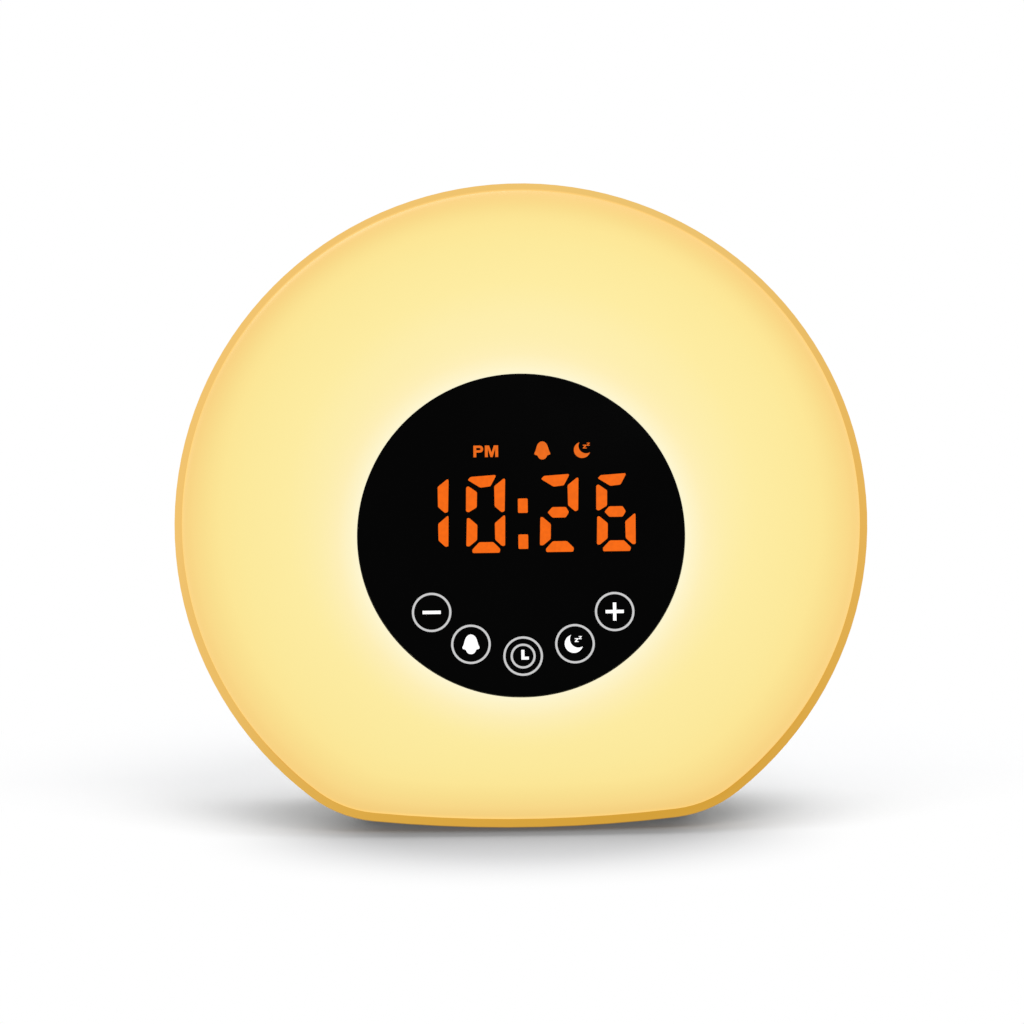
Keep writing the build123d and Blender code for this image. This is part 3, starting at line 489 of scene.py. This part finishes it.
def reach(angle, inset):
    """Distance from the window's centre to the face outline moved in by inset, along one direction."""
    low, high = 10.0, 120.0
    for _ in range(40):
        middle = (low + high) / 2
        inside = inside_by(middle * math.cos(angle), middle * math.sin(angle) - WINDOW_DROP)
        low, high = (middle, high) if inside > inset else (low, middle)
    return low


def crown(u, v):
    """Height of the crowned front above the rim's plane."""
    ahead = math.sqrt(CROWN_RADIUS ** 2 - WINDOW_RADIUS ** 2)
    return WINDOW_FACE - ahead + math.sqrt(CROWN_RADIUS ** 2 - u ** 2 - (v + WINDOW_DROP) ** 2)


def face_mesh():
    """Domed opal shell: outer wall, rounded shoulder, crown, recess for the window, inner side."""
    angles = [2 * math.pi * k / SHELL_STEPS for k in range(SHELL_STEPS)]
    depths = [SHOULDER_RADIUS * (1 - math.cos(math.radians(a))) for a in range(0, 91, 6)]
    edge = [[reach(a, DIFFUSER_INSET + d) for d in depths] for a in angles]
    loops = []

    def ring_at(distances, height):
        loop = []
        for angle, distance in zip(angles, distances):
            u = distance * math.cos(angle)
            v = distance * math.sin(angle) - WINDOW_DROP
            loop.append((u, v, height(u, v)))
        return loop

    outer = [row[0] for row in edge]
    for level in (-RIM_DEPTH, *WALL_LEVELS):
        loops.append(ring_at(outer, lambda u, v, level=level: level))
    for step, depth in enumerate(depths):
        fall = SHOULDER_RADIUS - math.sqrt(max(0.0, SHOULDER_RADIUS ** 2 - (SHOULDER_RADIUS - depth) ** 2))
        loops.append(ring_at([row[step] for row in edge], lambda u, v, fall=fall: crown(u, v) - fall))
    top = [row[-1] for row in edge]
    for step in range(1, CROWN_ROWS + 1):
        share = step / CROWN_ROWS
        loops.append(ring_at([t + (OPENING_RADIUS + RECESS_LIP - t) * share for t in top], crown))

    def circle_at(radius, height):
        return ring_at([radius] * SHELL_STEPS, height)

    for turn in (30, 60, 90):
        back = RECESS_LIP * (1 - math.sin(math.radians(turn)))
        drop = RECESS_LIP * (1 - math.cos(math.radians(turn)))
        loops.append(circle_at(OPENING_RADIUS + back, lambda u, v, drop=drop: crown(u, v) - drop))
    floor = WINDOW_FACE - WINDOW_THICKNESS
    recess_wall = OPENING_RADIUS + DIFFUSER_WALL
    loops.append(circle_at(OPENING_RADIUS, lambda u, v: floor))
    loops.append(circle_at(recess_wall, lambda u, v: floor - RECESS_SLOPE))
    for share in (0.25, 0.6, 1.0):
        inner = [recess_wall + (t - INNER_EDGE - recess_wall) * share for t in top]
        loops.append(ring_at(inner, lambda u, v: crown(u, v) - DIFFUSER_WALL))
    wall = [d - DIFFUSER_WALL for d in outer]
    loops.append(ring_at(wall, lambda u, v: SHELL_FOOT))
    loops.append(ring_at(wall, lambda u, v: -RIM_DEPTH))
    return loft(loops)


lit_face = piece("lit_face", *face_mesh(), diffuser_material(), "diffuser", hides=("front_diffuser",))

# --- signs in the window -------------------------------------------------------------------------
SEGMENTS = {
    "a": [(0.5, 17.8), (1.2, 18.55), (7.15, 18.95), (7.25, 18.6), (5.95, 16.2), (3.5, 15.9)],
    "b": [(9.2, 18.1), (9.5, 17.85), (9.3, 10.1), (8.6, 9.8), (6.9, 11.3), (6.85, 16.2)],
    "c": [(9.2, 9.15), (9.4, 8.85), (9.3, 1.7), (8.6, 1.6), (6.95, 3.15), (6.9, 7.2)],
    "d": [(3.1, 2.6), (6.5, 2.6), (8.15, 0.9), (7.95, 0.0), (1.5, 0.0), (1.4, 0.8)],
    "e": [(0.2, 8.45), (0.7, 8.55), (2.7, 6.8), (2.6, 3.15), (0.7, 1.6), (0.0, 1.7)],
    "f": [(0.1, 16.0), (0.6, 16.3), (2.7, 14.8), (2.6, 11.1), (0.6, 9.9), (0.0, 10.15)],
    "g": [(3.1, 10.9), (6.35, 10.9), (7.1, 9.65), (6.3, 8.35), (3.1, 8.35), (1.95, 9.6)],
}
DIGITS = {"1": "bc", "0": "abcdef", "2": "abged", "6": "acdefg"}
SEGMENT_CORNER = 0.32
DIGIT_LEFTS = (("1", -26.75), ("0", -13.15), ("2", 4.5), ("6", 18.15))
DIGIT_FOOT = -4.6 - WINDOW_DROP
SIGN_ROW = 20.2 - WINDOW_DROP
PM_SPOT, PM_HEIGHT = (-11.2, SIGN_ROW - 1.45), 2.85
BELL_SPOT, BELL_HEIGHT = (5.4, SIGN_ROW), 4.5
MOON_SPOT, MOON_RADIUS = (15.0, SIGN_ROW), 1.98
SLEEP_SPOT, SLEEP_SIZE = (15.2, SIGN_ROW + 0.35), 0.9
COLON_SIDES = (-1.0, 1.35)
COLON_LEFT = 0.35
COLON_DOTS = ((0.85, 4.35), (9.6, 13.1))
SIGN_LOW = WINDOW_FACE + 0.01
SIGN_HIGH = WINDOW_FACE + 0.05


def digit_shapes():
    """The lit segments of 10:26 and the colon's two dots."""
    shapes = []
    for digit, left in DIGIT_LEFTS:
        shapes += [moved(SEGMENTS[name], left, DIGIT_FOOT) for name in DIGITS[digit]]
    left, right = COLON_SIDES
    for low, high in COLON_DOTS:
        shapes.append(moved([(left, low), (right, low), (right, high), (left, high)], COLON_LEFT, DIGIT_FOOT))
    return [rounded(shape, SEGMENT_CORNER) for shape in shapes]


def bell(height):
    """Bell outline: dome, flared skirt and clapper; its middle at the origin."""
    half = [(0.0, 1.0), (0.25, 0.93), (0.46, 0.74), (0.58, 0.48), (0.66, 0.2), (0.73, -0.06), (0.86, -0.3),
            (0.83, -0.46), (0.52, -0.52), (0.44, -0.74), (0.28, -0.93), (0.0, -1.0)]
    left = [(-x, y) for x, y in reversed(half[1:-1])]
    return rounded([(x * height / 2, y * height / 2) for x, y in half + left], 0.07 * height, 3)


def crescent(radius):
    """Moon outline: a disc less a second one that lies towards its upper right."""
    cut, apart, middle = 0.92, 0.69, 45.0
    tip = math.acos((1 + apart ** 2 - cut ** 2) / (2 * apart))
    bite = math.degrees(math.atan2(math.sin(tip), math.cos(tip) - apart))
    tip = math.degrees(tip)
    outer = circle_points(radius, 36, start=middle + tip, turn=360.0 - 2 * tip)
    side = radius * apart * math.sqrt(0.5)
    inner = circle_points(cut * radius, 24, side, side, middle - bite, 2 * bite - 360.0)
    return outer + inner[1:-1]


def sleep_marks(size):
    """Two small z strokes that rise to the right."""
    z = [(0, 0), (1, 0), (1, 0.22), (0.42, 0.22), (1, 0.8), (1, 1), (0, 1), (0, 0.78), (0.56, 0.78), (0, 0.2)]
    return [moved(z, 0.0, 0.0, size), moved(z, 1.05 * size, 0.75 * size, 0.8 * size)]


def letters_pm(height):
    """P and M in a plain bold cut."""
    stem = 0.24 * height
    bowl = circle_points(0.3 * height, 12, 0.53 * height, 0.7 * height, -90.0, 180.0)
    hole = circle_points(0.1 * height, 10, 0.5 * height, 0.7 * height, 90.0, -180.0)
    p = [(0, 0), (stem, 0), (stem, 0.4 * height)] + bowl
    p += [(0, height), (0, 0.6 * height), (stem, 0.6 * height), (stem, 0.8 * height)] + hole
    p += [(stem, 0.6 * height), (stem, 0.59 * height), (0, 0.59 * height)]
    m = [(0, 0), (0, 1), (0.32, 1), (0.5, 0.4), (0.68, 1), (1, 1), (1, 0), (0.78, 0), (0.78, 0.74), (0.58, 0),
         (0.42, 0), (0.22, 0.74), (0.22, 0)]
    return p, [(0.97 * height + x * 1.12 * height, y * height) for x, y in m]


segment_glow = lit("digit_orange", lin(12, 4, 0), lin(250, 106, 0), 1.0)
piece("lit_digits", *plates(digit_shapes(), SIGN_LOW, SIGN_HIGH), segment_glow, "digit_orange")

lit_signs = [moved(letter, *PM_SPOT) for letter in letters_pm(PM_HEIGHT)]
lit_signs += [moved(bell(BELL_HEIGHT), *BELL_SPOT), moved(crescent(MOON_RADIUS), *MOON_SPOT)]
lit_signs += [moved(shape, *SLEEP_SPOT) for shape in sleep_marks(SLEEP_SIZE)]
sign_glow = lit("sign_orange", lin(12, 4, 0), lin(240, 108, 14), 1.0)
piece("lit_signs", *plates(lit_signs, SIGN_LOW, SIGN_HIGH), sign_glow, "digit_orange")

# --- printed touch keys --------------------------------------------------------------------------
KEY_SPOTS = ((-21.6, -18.8), (-12.3, -26.6), (0.1, -29.6), (12.5, -26.8), (22.1, -19.2))
KEY_RADIUS = 4.72
KEY_STROKE = 0.52
INNER_RING = 2.98
BAR_LENGTH = 4.35
BAR_WIDTH = 0.8
KEY_BELL_HEIGHT = 4.8
KEY_MOON_RADIUS = 2.2


def bar(length, width, u, v):
    """A rectangle about its middle."""
    across, up = length / 2, width / 2
    return [(u - across, v - up), (u + across, v - up), (u + across, v + up), (u - across, v + up)]


def turned(point, degrees):
    """A point turned about the origin."""
    angle = math.radians(degrees)
    along, side = math.cos(angle), math.sin(angle)
    return point[0] * along - point[1] * side, point[0] * side + point[1] * along


def key_meshes():
    """The five printed rings, the clock key's inner ring, and the glyphs in them."""
    spots = [(u, v - WINDOW_DROP) for u, v in KEY_SPOTS]
    rings = [ring_plate(KEY_RADIUS, KEY_STROKE, u, v, SIGN_LOW, SIGN_HIGH) for u, v in spots]
    clock_u, clock_v = spots[2]
    rings.append(ring_plate(INNER_RING, KEY_STROKE, clock_u, clock_v, SIGN_LOW, SIGN_HIGH))
    minus, bell_key, clock, moon, plus = spots
    long, thin = BAR_LENGTH / 2, BAR_WIDTH / 2
    arm = [(-thin, -thin), (-thin, -long), (thin, -long)]
    cross = [turned(point, 90.0 * k) for k in range(4) for point in arm]
    hands = [(-0.42, 1.5), (-0.42, -0.85), (1.35, -0.85), (1.35, -0.15), (0.32, -0.15), (0.32, 1.5)]
    shapes = [bar(BAR_LENGTH, BAR_WIDTH, *minus), moved(bell(KEY_BELL_HEIGHT), *bell_key)]
    shapes += [moved(hands, *clock), moved(crescent(KEY_MOON_RADIUS), moon[0] - 0.25, moon[1])]
    shapes.append(moved(cross, *plus))
    shapes += [moved(shape, moon[0] - 0.05, moon[1] + 0.4) for shape in sleep_marks(SLEEP_SIZE)]
    return joined(*rings), plates(shapes, SIGN_LOW, SIGN_HIGH)


def key_print(name, grey, glow):
    """Printed ink that the board's light shines through."""
    graph = lit(name, lin(grey, grey, grey), lin(glow, glow, glow), 0.72, 0.95)
    return graph.bump(graph.noise(6000.0, 2.0), 0.2, 0.00001)


ring_mesh, glyph_mesh = key_meshes()
piece("key_rings", *ring_mesh, key_print("print_grey", 140, 196), "window_black")
piece("key_glyphs", *glyph_mesh, key_print("print_white", 200, 250), "window_black")

# --- marks beside the rear buttons ---------------------------------------------------------------
BACK_AXES = Matrix(((-1, 0, 0, 0), (0, 0, 1, mm(BACK_PLANE)), (0, 1, 0, mm(BUTTON_HEIGHT)), (0, 0, 0, 1)))
MARK_RISE = 7.4
MARK_LEVELS = (0.01, 0.06)
WAVE_STROKE = 0.26


def sun_shapes():
    """A disc with eight rays: the light button's mark."""
    rays = []
    for k in range(8):
        angle = math.radians(45 * k)
        along, side = (math.cos(angle), math.sin(angle)), (-math.sin(angle), math.cos(angle))
        ends = ((1.25, -0.15), (1.85, -0.15), (1.85, 0.15), (1.25, 0.15))
        rays.append([(a * along[0] + b * side[0], a * along[1] + b * side[1]) for a, b in ends])
    return [circle_points(0.9, 24)] + rays


def note_shapes():
    """A note's head, stem and flag: the sound button's mark."""
    stem = [(0.35, -1.2), (0.65, -1.2), (0.65, 1.2), (1.3, 0.85), (1.3, 1.2), (0.6, 1.7), (0.35, 1.7)]
    return [circle_points(0.65, 20, 0.0, -1.2), stem]


def mast_shapes():
    """A mast that sends out waves: the radio button's mark."""
    mast = [(-0.15, 0.2), (-0.75, -1.6), (-0.4, -1.6), (0.0, -0.4), (0.4, -1.6), (0.75, -1.6), (0.15, 0.2)]
    waves = []
    for radius in (0.95, 1.6):
        for start in (-35.0, 145.0):
            outer = circle_points(radius, 12, 0.0, 0.4, start, 70.0)
            waves.append(outer + circle_points(radius - WAVE_STROKE, 12, 0.0, 0.4, start + 70.0, -70.0))
    return [mast, circle_points(0.35, 16, 0.0, 0.4)] + waves


rear_marks = []
for place, shapes in ((-BUTTON_SPACING, sun_shapes()), (0.0, mast_shapes()), (BUTTON_SPACING, note_shapes())):
    rear_marks += [moved(shape, place, MARK_RISE) for shape in shapes]
mark_ink = moulded("mark_grey", lin(120, 120, 118), 0.5)
piece("rear_marks", *plates(rear_marks, *MARK_LEVELS), mark_ink, "button_grey", axes=BACK_AXES)

# --- materials of the construction's own nodes ---------------------------------------------------
window = moulded("window_black", lin(1, 1, 1), 0.12, 900.0, 0.000004, 0.02)
black_plastic = moulded("carrier_black", lin(34, 34, 34), 0.5)
green_board = circuit_board("board_green", lin(22, 84, 44), lin(40, 116, 62))
white_board = circuit_board("board_white", lin(228, 228, 222), lin(206, 206, 198))
screw_steel = metal("screw_steel", lin(186, 186, 188), 0.34)
foam = speckled("foam_black", lin(34, 34, 34), lin(58, 58, 58), 0.95, 1400.0, 0.0002)
led_resin = lit("led_yellow", lin(236, 206, 90), lin(255, 214, 120), 1.2)
inner_white = moulded("reflector_white", lin(240, 239, 234), 0.6)
basket_paint = moulded("speaker_paint", lin(46, 46, 48), 0.45, 1500.0, 0.00003)
ferrite = speckled("magnet_ferrite", lin(58, 58, 60), lin(74, 74, 76), 0.75, 900.0, 0.00008)
cone_paper = speckled("cone_paper", lin(38, 38, 38), lin(56, 55, 52), 0.9, 1100.0, 0.0001)
nickel = metal("contact_nickel", lin(214, 210, 200), 0.2)
socket_black = moulded("socket_black", lin(26, 26, 26), 0.4)
chip_black = moulded("chip_black", lin(34, 34, 35), 0.65)
sleeve = moulded("capacitor_sleeve", lin(28, 36, 84), 0.25)
cream = moulded("connector_cream", lin(228, 222, 196), 0.5)
rubber = speckled("foot_rubber", lin(52, 52, 52), lin(66, 66, 66), 0.85, 1600.0, 0.00006)
button_plastic = moulded("button_grey", lin(214, 212, 206), 0.38)
plunger = moulded("plunger_black", lin(40, 40, 40), 0.45)


HALF_WIRE = 0.635
CELL_HALF = 22.0
CELL_BAND = ((0.0, (32, 78, 50)), (0.68, (32, 78, 50)), (0.7, (196, 190, 150)), (1.0, (206, 200, 160)))


def ribbon_material():
    """Flat cable: grey wires side by side, with painted shade darkening the grooves between them."""
    graph = Graph("ribbon_grey")
    x, _, _ = graph.parts()
    shade = graph.span(graph.math("PINGPONG", x, mm(HALF_WIRE)), 0.0, mm(HALF_WIRE))
    # Painted shade: darker at the grooves between wires, lighter over each wire.
    graph.set(Base_Color=graph.mix(shade, lin(120, 120, 124), lin(184, 184, 188)), Roughness=0.55)
    return graph.bump(shade, 0.6, 0.0002)


def cell_material():
    """Plain printed cell jacket: dark green with a pale band at one end."""
    graph = Graph("cell_jacket")
    x, _, _ = graph.parts()
    band = graph.ramp(graph.span(x, mm(-CELL_HALF), mm(CELL_HALF), smooth=False), CELL_BAND)
    scuffs = graph.span(graph.noise(160.0, 4.0), 0.4, 0.7, 0.22, 0.38)
    graph.set(Base_Color=band, Roughness=scuffs)
    return graph.bump(graph.noise(300.0, 3.0), 0.1, 0.00003)


NODE_FINISHES = (
    (window, "display_window"),
    (black_plastic, "window_carrier digit_module"),
    (green_board, "touch_board button_board main_board"),
    (foam, "touch_pads speaker_gasket"),
    (segment_glow, "digit_segments"),
    (inner_white, "reflector_plate"),
    (white_board, "ring_light_board"),
    (led_resin, "ring_light_leds"),
    (housing_material(), "rear_housing"),
    (moulded("door_white", lin(238, 236, 230), 0.46, specular=0.2), "battery_door"),
    (basket_paint, "speaker_basket speaker_clamps"),
    (ferrite, "speaker_magnet"),
    (cone_paper, "speaker_cone"),
    (chip_black, "switch_bodies main_board_chips"),
    (cell_material(), "battery_cells"),
    (nickel, "battery_contacts battery_springs power_socket_pin power_socket_nut"),
    (socket_black, "power_socket"),
    (sleeve, "main_board_capacitors"),
    (cream, "board_connectors"),
    (ribbon_material(), "display_ribbon"),
    (moulded("lead_red", lin(150, 26, 22), 0.35), "speaker_leads"),
    (rubber, "rubber_feet"),
    (button_plastic, "light_button radio_button sound_button"),
    (plunger, "light_switch_plunger radio_switch_plunger sound_switch_plunger"),
)
finish_of = {node: finish for finish, nodes in NODE_FINISHES for node in nodes.split()}
for node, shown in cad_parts.items():
    material = finish_of.get(node, screw_steel).material
    if not shown.data.materials:
        shown.data.materials.append(material)
    for index in range(len(shown.data.materials)):
        shown.data.materials[index] = material

# --- studio --------------------------------------------------------------------------------------
LAMP_TARGET = Vector((0, 0, 0.05))
FILL_LIGHT = 0.42
FLOOR_HALF = 6.0
CLOCK_FRONT, CLOCK_BACK = -0.045, 0.05
FADE_AHEAD, FADE_BEHIND = 0.10, 0.60
SIDE_FADE_END = 0.10
SIDE_FADE_FRONT, SIDE_FADE_BACK = 0.08, 0.20
FLOOR_LIFT = 0.10
# Reach of the ambient occlusion that paints shade on the floor near the clock.
PAINTED_SHADE_REACH = 0.25


def add_light(name, place, size, power):
    """A round soft lamp that points at the clock; metres and watts."""
    data = bpy.data.lights.new(name, "AREA")
    data.shape = "DISK"
    data.size = size
    data.energy = power
    lamp = bpy.data.objects.new(name, data)
    bpy.context.scene.collection.objects.link(lamp)
    lamp.location = place
    lamp.rotation_mode = "QUATERNION"
    lamp.rotation_quaternion = (Vector(place) - LAMP_TARGET).to_track_quat("Z", "Y")


add_light("top_light", (0.2, 0.3, 1.45), 1.5, 10.3)
add_light("front_light", (0.35, -1.3, 1.0), 0.7, 7.0)
add_light("back_light", (-0.4, 1.2, 0.9), 0.9, 4.0)


def any_seen_ray(tree):
    """1 for rays from the camera, and for those that gloss and glass send on."""
    path = tree.nodes.new("ShaderNodeLightPath")
    seen = path.outputs["Is Camera Ray"]
    for name in ("Is Glossy Ray", "Is Transmission Ray"):
        node = tree.nodes.new("ShaderNodeMath")
        node.operation = "MAXIMUM"
        tree.links.new(seen, node.inputs[0])
        tree.links.new(path.outputs[name], node.inputs[1])
        seen = node.outputs[0]
    return seen


def make_world():
    """White where a ray sees it, and a dimmer fill light on the clock."""
    world = bpy.data.worlds.new("studio")
    bpy.context.scene.world = world
    world.use_nodes = True
    tree = world.node_tree
    tree.nodes.clear()
    background = tree.nodes.new("ShaderNodeBackground")
    background.inputs["Color"].default_value = (1.0, 1.0, 1.0, 1.0)
    output = tree.nodes.new("ShaderNodeOutputWorld")
    strength = tree.nodes.new("ShaderNodeMapRange")
    tree.links.new(any_seen_ray(tree), strength.inputs["Value"])
    strength.inputs["To Min"].default_value = FILL_LIGHT
    strength.inputs["To Max"].default_value = 1.0
    tree.links.new(strength.outputs["Result"], background.inputs["Strength"])
    tree.links.new(background.outputs[0], output.inputs["Surface"])


def make_floor():
    """White floor: it takes the shadow near the clock, darkened further by painted shade from ambient
    occlusion, and turns into plain white further out.
    """
    mesh = bpy.data.meshes.new("floor")
    corners = [(-FLOOR_HALF, -FLOOR_HALF, 0), (FLOOR_HALF, -FLOOR_HALF, 0), (FLOOR_HALF, FLOOR_HALF, 0),
               (-FLOOR_HALF, FLOOR_HALF, 0)]
    mesh.from_pydata(corners, [], [(0, 1, 2, 3)])
    floor = bpy.data.objects.new("floor", mesh)
    bpy.context.scene.collection.objects.link(floor)
    graph = Graph("floor_white")
    x, y, _ = graph.parts()
    ahead = graph.math("MULTIPLY", graph.math("SUBTRACT", y, CLOCK_FRONT), -1.0 / FADE_AHEAD)
    behind = graph.math("MULTIPLY", graph.math("SUBTRACT", y, CLOCK_BACK), 1.0 / FADE_BEHIND)
    ahead, behind = graph.math("MAXIMUM", ahead, 0.0), graph.math("MAXIMUM", behind, 0.0)
    side = graph.span(y, CLOCK_FRONT, SIDE_FADE_END, SIDE_FADE_FRONT, SIDE_FADE_BACK, smooth=False)
    across = graph.math("DIVIDE", x, side)
    squares = [graph.math("MULTIPLY", part, part) for part in (across, ahead, behind)]
    away = graph.math("SQRT", graph.math("ADD", squares[0], graph.math("ADD", squares[1], squares[2])))
    # Painted shade: the floor's base colour darkens where ambient occlusion finds the clock close by.
    occlusion = graph.add("ShaderNodeAmbientOcclusion")
    occlusion.inputs["Distance"].default_value = PAINTED_SHADE_REACH
    painted_shade = graph.span(occlusion.outputs["AO"], 0.45, 1.0, 0.72, 1.0, smooth=False)
    paper = graph.mix(graph.noise(900.0, 2.0), (0.855, 0.86, 0.87, 1), (0.875, 0.88, 0.89, 1))
    shaded = graph.mix(painted_shade, (0.0, 0.0, 0.0, 1.0), paper)
    graph.set(Base_Color=shaded, Roughness=0.9, Specular_IOR_Level=0.0)
    seen = any_seen_ray(graph.tree)
    lift = graph.add("ShaderNodeEmission")
    graph.feed(lift.inputs["Strength"], graph.math("MULTIPLY", seen, FLOOR_LIFT))
    lifted = graph.add("ShaderNodeAddShader")
    graph.feed(lifted.inputs[0], graph.shader.outputs[0])
    graph.feed(lifted.inputs[1], lift.outputs[0])
    white = graph.add("ShaderNodeEmission")
    plain = graph.add("ShaderNodeMixShader")
    graph.feed(plain.inputs[0], graph.math("MULTIPLY", graph.span(away, 0.35, 1.0), seen))
    graph.feed(plain.inputs[1], lifted.outputs[0])
    graph.feed(plain.inputs[2], white.outputs[0])
    graph.tree.links.new(plain.outputs[0], graph.output.inputs["Surface"])
    mesh.materials.append(graph.material)
    return floor


def keep_glow_off(floor, *shining):
    """The floor stays neutral: the lit pieces don't tint it."""
    spared = bpy.data.collections.new("no_glow")
    spared.objects.link(floor)
    spared.collection_objects[0].light_linking.link_state = "EXCLUDE"
    for lit_piece in shining:
        lit_piece.light_linking.receiver_collection = spared


make_world()
keep_glow_off(make_floor(), lit_face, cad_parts["rear_housing"])

# --- camera --------------------------------------------------------------------------------------
CAMERA_DISTANCE = 700.0
CAMERA_LIFT = math.radians(0.4)
CAMERA_ROLL = math.radians(-0.8)
FOCAL_PIXELS = 2852.0
IMAGE_SIZE = 1024.0
SENSOR_WIDTH = 36.0
FACE_PIXEL = (520.8, 518.0)


def make_camera():
    """The photo's view: nearly straight on, a little from above, rolled to match the lower edge."""
    data = bpy.data.cameras.new("photo_camera")
    data.sensor_width = SENSOR_WIDTH
    data.lens = FOCAL_PIXELS * SENSOR_WIDTH / IMAGE_SIZE
    data.clip_start = 0.01
    data.clip_end = 30.0
    camera = bpy.data.objects.new("photo_camera", data)
    bpy.context.scene.collection.objects.link(camera)
    centre = FACE_AXES.translation
    back = Vector((0, -math.cos(CAMERA_LIFT), math.sin(CAMERA_LIFT)))
    camera.location = centre + back * mm(CAMERA_DISTANCE)
    camera.rotation_mode = "QUATERNION"
    level = back.to_track_quat("Z", "Y")
    camera.rotation_quaternion = level @ Matrix.Rotation(CAMERA_ROLL, 4, "Z").to_quaternion()
    data.shift_x = -(FACE_PIXEL[0] - IMAGE_SIZE / 2) / IMAGE_SIZE
    data.shift_y = (FACE_PIXEL[1] - IMAGE_SIZE / 2) / IMAGE_SIZE
    bpy.context.scene.camera = camera


make_camera()
bpy.context.scene.view_settings.view_transform = "Standard"
